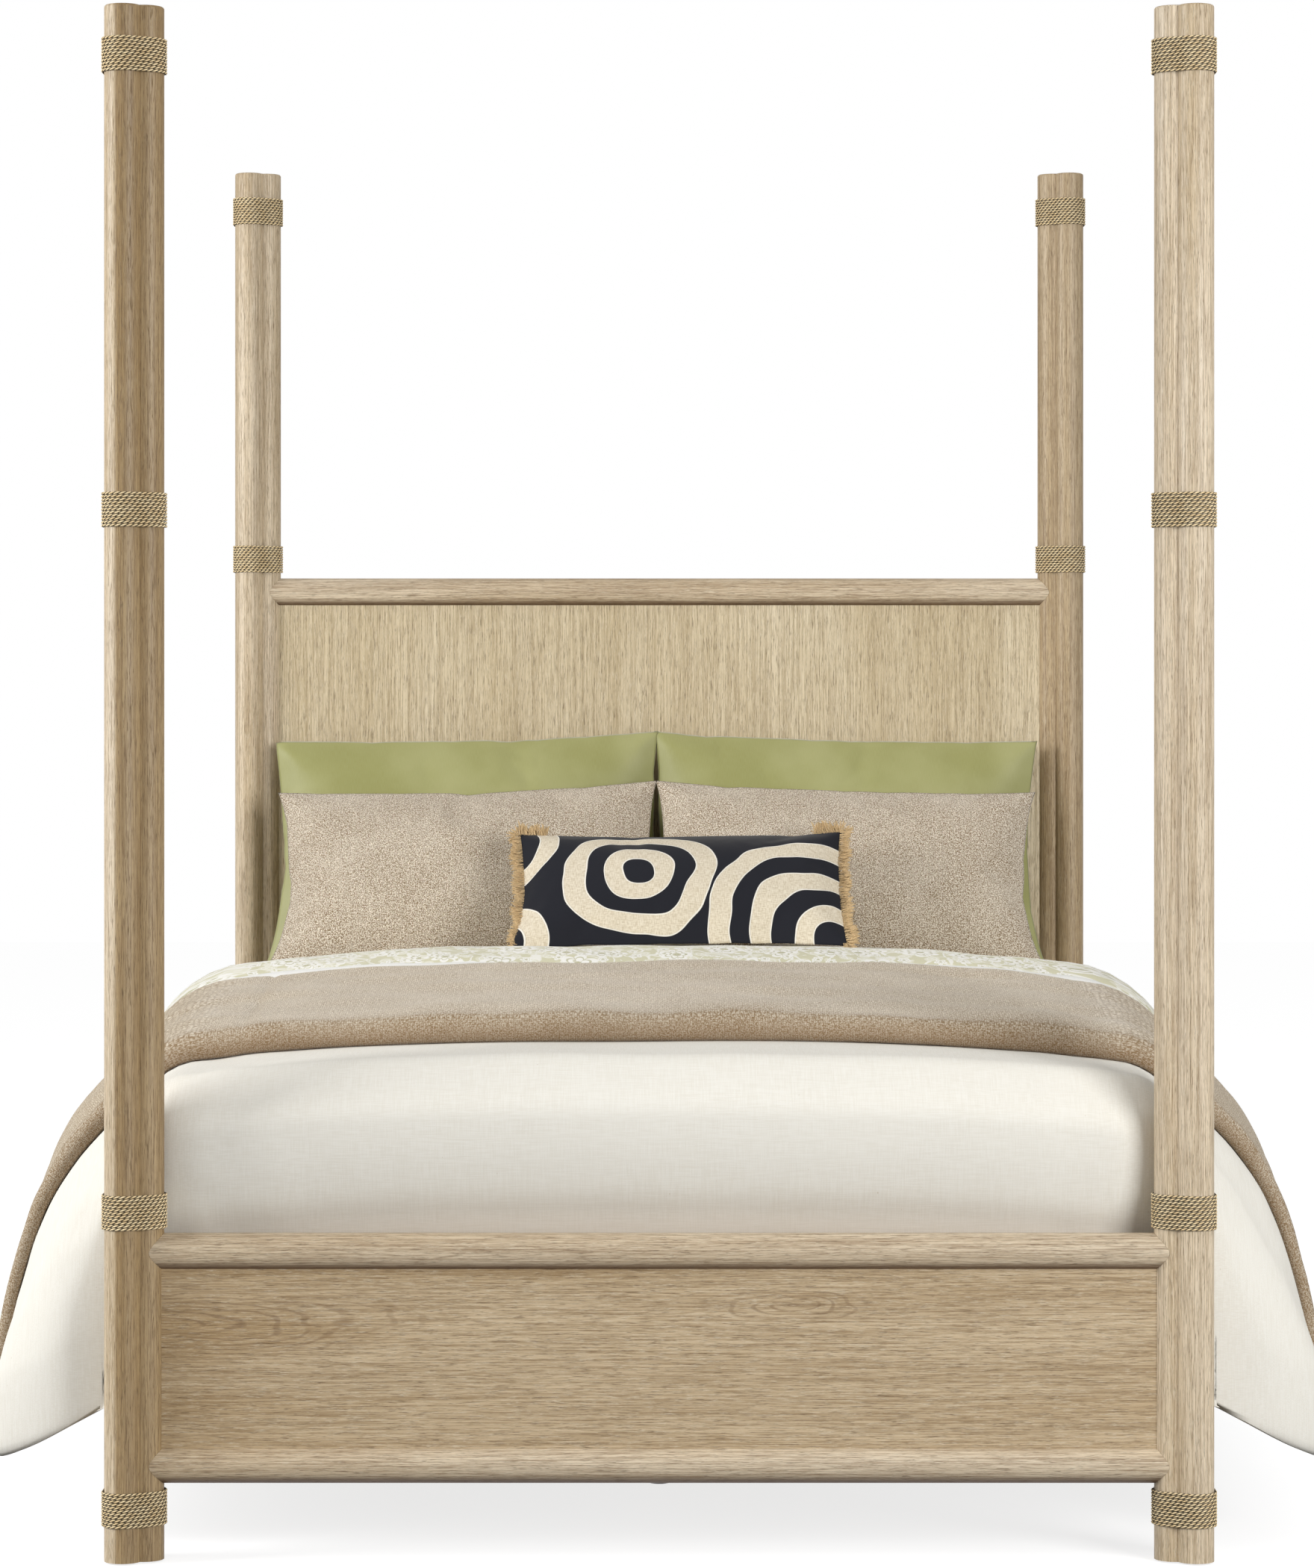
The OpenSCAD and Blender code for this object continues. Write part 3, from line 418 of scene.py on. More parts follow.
def bold_bands(name):
    """Black cloth with a few broad cream bands of linen, each edged with a raised pale cord. The bands
    follow squarish ovals, given by their middle, half width, height over width, turn and band width."""
    s = Shader(name, roughness=0.85, sheen=0.1, specular=0.2)
    flat = s.flat()
    bend = s.noise(flat, 9, detail=1)
    shift = s.times(s.minus(bend, 0.5), 0.03)
    bent = s.vector("ADD", flat, s.join(shift, s.times(shift, -1.0)))
    ovals = ((-0.085, 0.0, 0.050, 0.95, 0.0, 0.019), (-0.085, 0.0, 0.128, 0.92, 0.20, 0.020),
             (0.315, -0.165, 0.075, 1.0, 0.0, 0.019), (0.315, -0.165, 0.160, 1.0, 0.0, 0.020),
             (0.315, -0.165, 0.245, 1.0, 0.0, 0.020), (-0.395, 0.150, 0.128, 1.0, 0.0, 0.020),
             (-0.395, -0.180, 0.118, 1.0, 0.0, 0.020))
    squareness = 2.6
    inside = 1.0
    for x, y, half, tall, turn, width in ovals:
        spot = s.scaled(s.scaled(bent, 1, (-x, -y, 0)), (1, 1 / tall, 1), (0, 0, 0), (0, 0, turn))
        px, py, _ = s.split(spot)
        squared = s.plus(s.math("POWER", s.size(px), squareness), s.math("POWER", s.size(py), squareness))
        far = s.size(s.minus(s.math("POWER", squared, 1 / squareness), half))
        inside = s.math("MINIMUM", inside, s.minus(far, width))
    cream_share = s.step(inside, 0.0007, -0.0007)
    cord = s.minus(1.0, s.step(s.size(inside), 0.0009, 0.0017))
    weave = s.noise(flat, (700, 90, 1), detail=2)
    weave_up = s.noise(flat, (90, 700, 1), detail=2)
    threads = s.plus(weave, weave_up)
    cream = s.mix(s.step(threads, 0.85, 1.2), "#e6dcc8", "#cdbfa5")
    colour = s.mix(cream_share, "#202128", cream)
    colour = s.mix(cord, colour, "#f3eee2")
    s.bump(cord, 0.0008, 0.9)
    s.bump(threads, 0.0002, 0.5)
    return s.finish(colour)


def rope_fibre(name):
    """Laid rope. Its flat places hold how high a point stands on its strand and how far it faces out, from
    which shade is painted dark in the waist between strands and in the gaps between turns.
    """
    s = Shader(name, roughness=0.8, sheen=0.15, specular=0.3)
    place = s.place()
    raised, outwards, _ = s.split(s.flat())
    fibre = s.noise(place, (700, 700, 1100), detail=2, roughness=0.6)
    tone = s.noise(place, (60, 60, 140), detail=2)
    colour = s.tinted(s.mix(s.step(tone, 0.35, 0.65), "#ffe9bc", "#f0d4a2"),
                      (fibre, 0.5, 0.72, 0.35, "#9c8560"))
    # Painted shade in the rope's hollows: the waist between strands and the gaps between turns
    painted_pit_shade = s.larger(s.step(raised, 0.82, 0.3), s.step(outwards, 0.7, 0.12))
    colour = s.mix(s.times(painted_pit_shade, 0.97), colour, "#221910")
    s.bump(fibre, 0.0002, 0.4)
    return s.finish(colour)


def plain(name, colour, roughness, metallic=0.0, grain=0.15, scale=60, depth=0.0001):
    """A plain hard or soft finish with a little uneven tone and texture."""
    s = Shader(name, roughness=roughness)
    s.bsdf.inputs["Metallic"].default_value = metallic
    uneven = s.noise(s.place(), scale, detail=4, roughness=0.6)
    darker = tuple(c * (1 - grain) for c in linear(colour)[:3]) + (1.0,)
    s.bump(uneven, depth, 0.5)
    return s.finish(s.mix(s.step(uneven, 0.35, 0.65), colour, darker))


# Mesh building


def places_of(mesh):
    """The places of a mesh's points, one row each."""
    places = np.empty(len(mesh.vertices) * 3)
    mesh.vertices.foreach_get("co", places)
    return places.reshape(-1, 3)


def new_piece(name, points, faces, material, node_name, flat=None, slot=None):
    """A mesh in the place of a solid. flat holds a place on the flat cloth, in metres, for each point. slot
    is not used."""
    mesh = bpy.data.meshes.new(name)
    mesh.from_pydata([tuple(p) for p in points], [], faces)
    mesh.validate()
    if flat is not None:
        loops = np.empty(len(mesh.loops), int)
        mesh.loops.foreach_get("vertex_index", loops)
        mesh.uv_layers.new(name="flat").data.foreach_set("uv", np.asarray(flat, float)[loops].ravel())
    obj = bpy.data.objects.new(name, mesh)
    scene.collection.objects.link(obj)
    mesh.materials.append(material)
    mesh.polygons.foreach_set("use_smooth", [True] * len(mesh.polygons))
    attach(obj, "root")
    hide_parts(node_name)
    # Blender numbers the name of a material where the frame already has one of that name
    slot or material.name.split(".")[0]
    return obj


def apply_modifier(piece, modifier):
    with bpy.context.temp_override(object=piece, active_object=piece, selected_objects=[piece]):
        bpy.context.view_layer.objects.active = piece
        bpy.ops.object.modifier_apply(modifier=modifier.name)


def spread(low, high, step):
    return np.linspace(low, high, max(2, int(round((high - low) / step)) + 1))


# Bedding. It is draped by the same rule as its solids: over the mattress's shoulder and out to the hem
SHOULDER = 0.045
DROP = 0.640
DROP_ANGLE = 46
HEM_ANGLE = 92
PUFF = 0.055
SWAY = 0.010
FOLD_PITCH = 0.460
EDGE_INSET = 0.050
CROWN = 0.030
CROWN_FADE = 0.350
CLOTH_FOOT = -POST_Y + POLE_C + POLE_R + 0.002
CLOTH_HEAD = POST_Y - POLE_C - POLE_R - 0.005
TOP_HALF = (mattress_high.x - mattress_low.x) / 2 - EDGE_INSET
TOP_Z = mattress_high.z + FIT
LAYER_DROP = DROP * 5 / 6


def ease(a):
    a = np.clip(a, 0, 1)
    return a * a * (3 - 2 * a)


def rounded(share):
    """A quarter round that rises from 0 to 1."""
    return np.sqrt(1 - (1 - np.clip(share, 0, 1)) ** 2)


def running(steps):
    """The sum before each step, and after the last one."""
    return np.concatenate([[0], np.cumsum(steps)])


def steepness(s):
    """Steepness in degrees at a distance s past the start of the shoulder."""
    late = np.clip((s - SHOULDER) / DROP, 0, 1) ** 1.2
    below = DROP_ANGLE + (HEM_ANGLE - DROP_ANGLE) * late
    return np.where(s <= SHOULDER, DROP_ANGLE * s / SHOULDER, below)


def path_table():
    """The drape's side profile: distances along it, and the places out and up that they reach."""
    step = 0.002
    s = np.arange(0, SHOULDER + DROP + step, step)
    a = np.radians(steepness(s[:-1] + step / 2))
    return s, running(np.cos(a) * step), running(-np.sin(a) * step)


PATH_S, PATH_X, PATH_Z = path_table()


def puff_at(y):
    out = PUFF * ease((y - CLOTH_FOOT) / 0.7) * (1 - 0.5 * ease(1 - (CLOTH_HEAD - y) / 0.55))
    out = out - 0.030 * (1 - ease((y - CLOTH_FOOT) / 0.09))
    turn = 2 * math.pi * y / FOLD_PITCH
    return out + SWAY * (np.sin(turn) + 0.5 * np.sin(turn * 59 / 36 + math.radians(40)))


def puff_share(s):
    return ease(s / 0.15) * (1 - 0.75 * ease((s - 0.22) / 0.38))


def sink(across, up):
    """The bedding's top is a low crown. Cloth that lies on the mattress itself stays level."""
    past = past_top(across)
    fall = CROWN * np.clip(np.abs(across) / TOP_HALF, 0, 1) ** 3
    return fall * (1 - ease(past / CROWN_FADE)) * ease((up - 0.002) / 0.006)


def past_top(across):
    """Distance along the cloth past the flat top, towards either side."""
    return np.maximum(np.abs(across) - TOP_HALF, 0)


def drape(across, y, up):
    """Points on the drape. across is measured along the cloth from the bed's middle, in metres."""
    across, y, up = np.broadcast_arrays(across, y, up)
    s = past_top(across)
    a = np.radians(steepness(s))
    x = np.interp(s, PATH_S, PATH_X) + up * np.sin(a) + puff_at(y) * puff_share(s)
    side = np.where(np.abs(across) <= TOP_HALF, across, np.sign(across) * (TOP_HALF + x))
    z = TOP_Z + np.interp(s, PATH_S, PATH_Z) + up * np.cos(a) - sink(across, up)
    return np.stack([side, y, z], -1)


def hanging(across):
    """How freely the cloth hangs, from 0 on the bed to 1 well down its sides."""
    return ease((past_top(across) - 0.15) / 0.4)


def folds(across, along):
    """Low swells, which grow where the cloth hangs, and creases that fade towards the middle, in metres."""
    swell = 0.0016 * ripple(across, along, 0.30, 3)
    swell = swell + 0.004 * hanging(across) * ripple(across * 0.35, along, 0.21, 4)
    crease = 0.0012 * ripple(across, along, 0.09, 5) * ease((np.abs(across) - 0.35) / 0.4)
    return swell, crease


def thickness(top, side, across):
    return top + (side - top) * ease(past_top(across) / 0.16)


def closed_sheet(upper, lower, flat, keep=None, lobes=1, bulge=1.0, steps=4):
    """Points, faces and flat places of the closed solid between two grids. keep says which cells exist.
    Its rim is round, or has one lobe for each folded layer of the cloth."""
    rows, cols = upper.shape[:2]
    n = rows * cols
    keep = np.ones((rows - 1, cols - 1), bool) if keep is None else keep
    index = np.arange(n).reshape(rows, cols)
    corners = (index[:-1, :-1], index[:-1, 1:], index[1:, 1:], index[1:, :-1])
    quads = np.stack([corner[keep] for corner in corners], 1)
    top = upper.reshape(-1, 3)
    under = lower.reshape(-1, 3)
    flat = flat.reshape(-1, 2)
    faces = [tuple(q) for q in quads] + [(q[0] + n, q[3] + n, q[2] + n, q[1] + n) for q in quads]
    sides = {}
    for q in quads.tolist():
        for k in range(4):
            sides[(q[k], q[(k + 1) % 4])] = (q[(k + 2) % 4], q[(k + 3) % 4])
    rim = [(edge, far) for edge, far in sides.items() if edge[::-1] not in sides]
    out, out_flat = {}, {}
    for (p, q), (r, s) in rim:
        away = (top[p] + top[q] - top[r] - top[s]) / 2
        away_flat = (flat[p] + flat[q] - flat[r] - flat[s]) / 2
        for point in (p, q):
            out[point] = out.get(point, 0) + away / np.linalg.norm(away)
            out_flat[point] = out_flat.get(point, 0) + away_flat / max(np.linalg.norm(away_flat), 1e-9)
    points, uv, between = [], [], {}
    start = 2 * n
    turns = [(lobe + (1 - math.cos(math.pi * k / steps)) / 2, math.sin(math.pi * k / steps))
             for lobe in range(lobes) for k in range(1, steps + 1)][:-1]
    for point, away in out.items():
        away = away / np.linalg.norm(away)
        away_flat = out_flat[point] / max(np.linalg.norm(out_flat[point]), 1e-9)
        thick = np.linalg.norm(top[point] - under[point])
        between[point] = [point] + [start + len(points) + k for k in range(len(turns))] + [n + point]
        for level, round_out in turns:
            share = level / lobes
            points.append(top[point] * (1 - share) + under[point] * share
                          + away * round_out * bulge * thick / (2 * lobes))
            uv.append(flat[point] + away_flat * thick * share * 1.5)
    for (p, q), _ in rim:
        for k in range(len(turns) + 1):
            faces.append((between[q][k], between[p][k], between[p][k + 1], between[q][k + 1]))
    everything = np.concatenate([top, under, np.array(points)])
    return everything, faces, np.concatenate([flat, flat, np.array(uv)])


def used_only(points, faces, flat):
    """Leaves out points that no face uses."""
    used = np.zeros(len(points), bool)
    for face in faces:
        used[list(face)] = True
    renumber = np.cumsum(used) - 1
    return points[used], [tuple(int(renumber[i]) for i in face) for face in faces], flat[used]


def padded_sheet(name, upper, lower, flat, material, node_name, fill, **rim):
    points, faces, flat = used_only(*closed_sheet(upper, lower, flat, **rim))
    new_piece(name, points, faces, material, node_name, flat)


def ring_faces(rings, sides, closed=False):
    """Quads between rings of points that follow each other, with a cap on each end or, if closed, none."""
    faces = []
    for k in range(rings if closed else rings - 1):
        for j in range(sides):
            a, b = k * sides + j, k * sides + (j + 1) % sides
            c, d = (k + 1) % rings * sides + (j + 1) % sides, (k + 1) % rings * sides + j
            faces.append((a, b, c, d))
    if not closed:
        faces.append(tuple(range(sides - 1, -1, -1)))
        faces.append(tuple((rings - 1) * sides + j for j in range(sides)))
    return faces


def tube(path, radius, sides=8, closed=False):
    """Points and faces of a round tube along a path of points."""
    path = np.asarray(path, float)
    ahead = np.roll(path, -1, 0) - np.roll(path, 1, 0)
    if not closed:
        ahead[0] = path[1] - path[0]
        ahead[-1] = path[-1] - path[-2]
    ahead /= np.linalg.norm(ahead, axis=1)[:, None]
    lead = np.array([0, 0, 1.0]) if abs(ahead[0][2]) < 0.9 else np.array([1.0, 0, 0])
    turns = math.tau * np.arange(sides) / sides
    points = []
    for place, way in zip(path, ahead):
        lead = lead - way * lead.dot(way)
        lead = lead / np.linalg.norm(lead)
        other = np.cross(way, lead)
        points.append(place + radius * (np.outer(np.cos(turns), lead) + np.outer(np.sin(turns), other)))
    return np.concatenate(points), ring_faces(len(path), sides, closed)


def evenly(points, spaced):
    """Distances along a path, picked by spaced for the path's length, and the places at them."""
    far = running(np.linalg.norm(np.diff(points, axis=0), axis=1))
    even = spaced(far[-1])
    return even, np.stack([np.interp(even, far, points[:, k]) for k in range(3)], 1)


def joined(parts):
    """Several point and face lists as one."""
    points, faces, start = [], [], 0
    for p, f in parts:
        points.append(p)
        faces += [tuple(i + start for i in face) for face in f]
        start += len(p)
    return np.concatenate(points), faces


def ripple(u, v, size, seed):
    """A smooth uneven height from -1 to 1 over flat places, from a few waves in seeded directions."""
    waves = 7
    rng = random.Random(seed)
    total = np.zeros(np.broadcast(u, v).shape)
    for _ in range(waves):
        angle, phase = rng.uniform(0, math.tau), rng.uniform(0, math.tau)
        length = size * rng.uniform(0.7, 1.6)
        total += np.sin(math.tau * (u * math.cos(angle) + v * math.sin(angle)) / length + phase)
    return total / waves * 1.6


# Camera at the photograph's viewpoint, level, in front of the foot end
camera = bpy.data.objects.new("camera", bpy.data.cameras.new("camera"))
scene.collection.objects.link(camera)
camera.location = (0, -7.901, 1.265)
camera.rotation_euler = (math.radians(90), 0, 0)
camera.data.lens = 104.47
camera.data.sensor_width = 36
camera.data.shift_x = -0.0014
camera.data.shift_y = -0.041
camera.data.clip_end = 60
scene.camera = camera

# Floor and light
scene.view_settings.view_transform = "Standard"
FLOOR_GLOW = 0.78


def floor_look():
    """Looks white and keeps the shadow, but throws little light back up under the bed."""
    s = Shader("floor", roughness=0.9, specular=0.0)
    rays = s.node("ShaderNodeLightPath").outputs
    seen = s.larger(rays["Is Camera Ray"], s.larger(rays["Is Glossy Ray"], rays["Is Transmission Ray"]))
    s.bsdf.inputs["Emission Color"].default_value = (1, 1, 1, 1)
    s.put(s.bsdf.inputs["Emission Strength"], s.times(seen, FLOOR_GLOW))
    return s.finish(s.mix(seen, (0.12, 0.12, 0.12, 1), (0.5, 0.5, 0.5, 1)))


floor_mesh = bpy.data.meshes.new("floor")
floor_mesh.from_pydata([(-15, -12, 0), (15, -12, 0), (15, 18, 0), (-15, 18, 0)], [], [(0, 1, 2, 3)])
floor_mesh.materials.append(floor_look())
floor = bpy.data.objects.new("floor", floor_mesh)
scene.collection.objects.link(floor)

# The studio's light comes evenly from all around, and its walls look white
LIGHT_LEVEL = 0.42
LIGHT_ABOVE = 0.40
world = bpy.data.worlds.new("studio")
world.use_nodes = True
scene.world = world
studio = Nodes(world.node_tree)
background = world.node_tree.nodes["Background"]
background.inputs["Color"].default_value = (1, 1, 1, 1)
rays = studio.node("ShaderNodeLightPath").outputs
seen = studio.larger(rays["Is Camera Ray"], rays["Is Transmission Ray"])
upward = studio.split(studio.node("ShaderNodeTexCoord").outputs["Generated"])[2]
lit = studio.step(upward, 0.0, 1.0, LIGHT_LEVEL, LIGHT_ABOVE, curve="LINEAR")
studio.put(background.inputs["Strength"], studio.step(seen, 0.0, 1.0, lit, 1.0, curve="LINEAR"))

for name, place, target, size, power in (("key_light", (-6.2, -2.2, 2.6), (0, 0, 0.8), 2.6, 325),
                                         ("fill_light", (4.2, -6.0, 2.4), (0, 0, 0.9), 3.0, 305),
                                         ("top_light", (0, 1.0, 5.0), (0, 0, 0.5), 4.5, 22)):
    lamp = bpy.data.objects.new(name, bpy.data.lights.new(name, "AREA"))
    lamp.data.size = size
    lamp.data.energy = power
    lamp.location = place
    lamp.rotation_euler = (Vector(target) - Vector(place)).to_track_quat("-Z", "Y").to_euler()
    scene.collection.objects.link(lamp)

# Wood, steel and plastic on the CAD's own nodes
dress(oak("oak_post", "Z", light="#ead9be", mid="#d3be9c", dark="#8a6f4a", pieces=pole_by_pole),
      "post_foot_left", "post_foot_right", "post_head_left", "post_head_right")
# The rails' undersides get painted shade
rail_oak = oak("oak_rail", "X", light="#e4d4ba", mid="#cfba9a", dark="#80623f", shift=(0.37, 0.1, 0.6),
               pieces=painted_shade_underneath)
dress(rail_oak, *RAILS)
dress(oak("oak_footboard", "X", light="#d2bc9a", mid="#b69b73", figure=board_arches), "footboard_panel")
dress(oak("oak_headboard", "Z", light="#e4d5b6", mid="#d3c19d", dark="#9a845e", shift=(0.5, 0.2, 0.3)),
      "headboard_panel")
dress(oak("oak_side", "Y", shift=(0.2, 0.8, 0.1)), "side_rail_left", "side_rail_right")
HIDDEN_OAK = {"light": "#cdb48c", "mid": "#b89a70", "dark": "#967648"}
dress(oak("oak_under", "Y", shift=(0.9, 0.3, 0.7), **HIDDEN_OAK),
      "ledger_left", "ledger_right", "center_beam")
dress(oak("oak_leg", "Z", shift=(0.3, 0.5, 0.9), **HIDDEN_OAK),
      "center_leg_foot", "center_leg_middle", "center_leg_head")
slat_names = sorted(name for name in nodes if name.startswith("slat_") and name != "slat_straps")
dress(oak("pine_slat", "X", light="#e6cf9f", mid="#d6b985", dark="#b08a54", shift=(0.4, 0.9, 0.2)),
      *slat_names)
dress(plain("steel", "#9a9c9e", 0.38, metallic=0.9, grain=0.2, scale=220),
      "ledger_screws", "rail_hook_plates", "post_slot_plates")
dress(plain("nylon", "#3a3a3c", 0.55, grain=0.1, scale=300), "post_glides", "leg_glides")

# Rope lashings: one laid rope wound eleven times round the three poles
ROPE_D = 0.0042
ROPE_PITCH = 0.0048
ROPE_TURNS = 11
ROPE_GAP = 0.0003
ROPE_LAY = 0.017
ROPE_STEP = 0.0014
ROPE_REACH = POLE_R + ROPE_GAP + ROPE_D / 2
LASHING_Z = (0.082, 1.580, 2.262)
FOOTBOARD_LASHING_Z = 0.527


def rope_route(mirror):
    """The rope's middle line about a post's axis, with points about one step apart."""
    route = []
    for i in range(ROPE_TURNS):
        z = (i - (ROPE_TURNS - 1) / 2) * ROPE_PITCH
        for turn in (120, 240, 360):
            for k in range(25):
                a = math.radians(turn - 60 + 120 * k / 24)
                t = math.radians(turn)
                route.append((POLE_C * math.cos(t) + ROPE_REACH * math.cos(a),
                              POLE_C * math.sin(t) + ROPE_REACH * math.sin(a), z))
    route = np.array(route) * [mirror, 1, 1]
    return evenly(route, lambda length: np.linspace(0, length, int(length / ROPE_STEP)))


def laid_rope(mirror):
    """Two strands twisted together, as one closed tube with a waist between them."""
    far, route = rope_route(mirror)
    ahead = np.gradient(route, axis=0)
    ahead /= np.linalg.norm(ahead, axis=1)[:, None]
    lead = np.cross(ahead, [0, 0, 1.0])
    lead /= np.linalg.norm(lead, axis=1)[:, None]
    other = np.cross(ahead, lead)
    sides = 12
    phase = -math.tau * far / ROPE_LAY
    rows = []
    # Marks from which the rope's shade is painted
    painted_shade_marks = []
    for j in range(sides):
        a = math.tau * j / sides
        raised = abs(math.cos(a)) ** 0.9
        turn = (phase + a)[:, None]
        reach = ROPE_D / 2 * (0.40 + 0.66 * raised)
        rows.append(route + reach * (np.cos(turn) * lead + np.sin(turn) * other))
        painted_shade_marks.append(np.concatenate([np.full_like(turn, raised), mirror * np.cos(turn)], 1))
    faces = ring_faces(len(route), sides)
    if mirror < 0:
        faces[:-2] = [face[::-1] for face in faces[:-2]]
    return np.stack(rows, 1).reshape(-1, 3), faces, np.stack(painted_shade_marks, 1).reshape(-1, 2)


rope = rope_fibre("rope")
for side, word in ((-1, "left"), (1, "right")):
    wound = laid_rope(-side)
    for end, place in ((-1, "foot"), (1, "head")):
        heights = LASHING_Z + ((FOOTBOARD_LASHING_Z,) if end < 0 else ())
        parts = [(wound[0] + [side * POST_X, end * POST_Y, z], wound[1]) for z in heights]
        new_piece(f"rope_{place}_{word}", *joined(parts), rope, f"lashings_{place}_{word}",
                  np.tile(wound[2], (len(heights), 1)))

# Duvet: one padded cloth over the whole mattress. Its foot end rounds over the mattress's edge and hangs
# behind the footboard between the posts, and its long sides hang to the hem
EDGE_R = 0.060
EDGE_Y = mattress_low.y + EDGE_R
EDGE_Z = TOP_Z - EDGE_R
FLAP_DROP = 0.222
FLAP_HALF = TOP_HALF + 0.062
HALF = TOP_HALF + SHOULDER + DROP - DUVET_SIDE_T / 2
ARC = EDGE_R * math.pi / 2


def over_edge(along, up):
    """Place along and up, for a distance along the cloth from where the mattress's rounding starts."""
    turn = np.clip(-along / EDGE_R, 0, math.pi / 2)
    y = EDGE_Y - (EDGE_R + up) * np.sin(turn) + np.maximum(along, 0)
    z = EDGE_Z + (EDGE_R + up) * np.cos(turn) - np.maximum(-along - ARC, 0)
    return y, z


CORNER_X = 0.845
CORNER_L = 0.11
HEM_LIFT = 0.55
FOOT_ALONG = CLOTH_FOOT + 0.003 - EDGE_Y
HEAD_ALONG = CLOTH_HEAD - 0.016 - EDGE_Y


def closed_in(points, along, up):
    """Turns the hanging sides in behind the posts at the foot end, round a soft upright corner."""
    near = np.clip((along - FOOT_ALONG) / CORNER_L, 0, 1)
    x = np.abs(points[..., 0])
    pull = np.maximum(x - CORNER_X - up * near, 0) * (1 - rounded(near))
    points[..., 0] = np.sign(points[..., 0]) * (x - pull)
    points[..., 2] += HEM_LIFT * pull
    return points


def duvet_surface(across, along, up):
    s = past_top(across)
    straight = closed_in(drape(across, EDGE_Y + along, up), along, up)
    y, z = over_edge(along, up)
    corner = np.clip((np.abs(across) - TOP_HALF + 0.02) / 0.08, 0, 1)
    y = y + 0.03 * corner ** 2 * ease(-along / ARC)
    wrapped = np.stack([straight[..., 0], y, z + straight[..., 2] - TOP_Z - up], -1)
    share = 1 - ease(s / 0.13) * ease(1 + (along - FOOT_ALONG) / 0.02)
    # The duvet hangs closer to the bed in front of the coverlet
    waist = 0.024 * np.sin(math.pi * np.clip(s / 0.56, 0, 1)) * (1 - ease((along - 0.02) / 0.16))
    straight[..., 0] -= np.sign(straight[..., 0]) * waist
    return wrapped * share[..., None] + straight * (1 - share[..., None])


across = spread(-HALF, HALF, 0.011)
along = np.concatenate([spread(-ARC - FLAP_DROP, -ARC, 0.012)[:-1], spread(-ARC, FOOT_ALONG, 0.005)[:-1],
                        spread(FOOT_ALONG, 0.06, 0.006)[:-1], spread(0.06, HEAD_ALONG, 0.013)])
A, B = np.meshgrid(across, along)
beyond = past_top(A)
full = thickness(DUVET_T, DUVET_SIDE_T, A)
down = -B - ARC
bow = np.sin(math.pi * np.clip((down + ARC) / (ARC + 0.14), 0, 1))
sloped = np.sin(math.pi * np.clip(-B / ARC, 0, 1)) ** 2
tucked = np.clip((down - 0.02) / 0.125, 0, 1) ** 2
swell_front = 0.033 + 0.007 * bow - 0.012 * sloped - 0.021 * tucked
thinning = ease((0.17 - B) / 0.17)
full = full + (swell_front - DUVET_T) * thinning * (1 - ease(beyond / 0.09))
swell, crease = folds(A, B)
upper = duvet_surface(A, B, full + swell + crease)
lower = duvet_surface(A, B, 0.0008 + swell * hanging(A))
middle = (B[:-1, :-1] + B[1:, 1:]) / 2
keep = (middle > FOOT_ALONG) | (np.abs(A[:-1, :-1] + A[1:, 1:]) / 2 < FLAP_HALF)
# The duvet's colour is painted deeper low on its hanging foot flap, as shade behind the footboard
duvet_linen = linen("duvet_linen", "#f3f0e7", "#dcd5c5", deeper=(-ARC - 0.090, -ARC - 0.175))
padded_sheet("duvet_cover", upper, lower, np.stack([A, B], -1), duvet_linen, "duvet", 0.35, keep=keep)

# Layers on the duvet. Each follows it at the duvet's thickness plus a small gap
LAYER_HALF = TOP_HALF + SHOULDER + LAYER_DROP - LAYER_SIDE_T / 2 - 0.004


def layer(name, y_from, y_to, top, material, node_name, fill, seed, shape, step=0.009, lobes=2,
          wrinkle=0.0022, bulge=1.0, seam_at=None):
    """A layer from y_from to y_to. top is its thickness at each y. shape thins or swells it."""
    across = spread(-LAYER_HALF, LAYER_HALF, 0.010)
    y = spread(y_from, y_to, step)
    A, Y = np.meshgrid(across, y)
    beyond = past_top(A)
    swell, crease = folds(A, Y - EDGE_Y)
    base = thickness(DUVET_T, DUVET_SIDE_T, A) + 0.0015 * ease(beyond / 0.2) + 0.001
    base = base + swell + np.maximum(crease, 0)
    over = thickness(top(Y), LAYER_SIDE_T, A) + 0.014 * np.sin(math.pi * np.clip(beyond / 0.34, 0, 1)) ** 2
    over = over * shape(Y, A)
    if seam_at:
        over = over - 0.0035 * np.exp(-((A - seam_at) / 0.006) ** 2)
    fine = 0.6 * ripple(A * 0.5, Y, 0.07, seed + 1) * (0.3 + hanging(A))
    own = wrinkle * (ripple(A, Y, 0.16, seed) + fine)
    padded_sheet(name, drape(A, Y, base + over + own), drape(A, Y, base), np.stack([A, Y], -1), material,
                 node_name, fill, lobes=lobes, bulge=bulge, steps=6)


COVERLET_FOOT = -POST_Y + 0.300
COVERLET_L = 0.628
COVERLET_HEAD = COVERLET_FOOT + COVERLET_L
BORDER_FOOT = COVERLET_HEAD + 0.003
BORDER_HEAD = BORDER_FOOT + 0.090
QUILT_FOOT = BORDER_HEAD + 0.003
FOLD_END = 0.621
COVERLET_T = 0.054
COVERLET_HEAD_T = 0.090
BORDER_T = 0.074
QUILT_T = 0.038
FOLD_T = 0.084
QUILT_ROLL_T = 0.022
QUILT_ROLL_L = 0.280
ROLL = 0.120


def coverlet_top(y):
    return COVERLET_T + (COVERLET_HEAD_T - COVERLET_T) * ease((y - COVERLET_FOOT) / COVERLET_L)


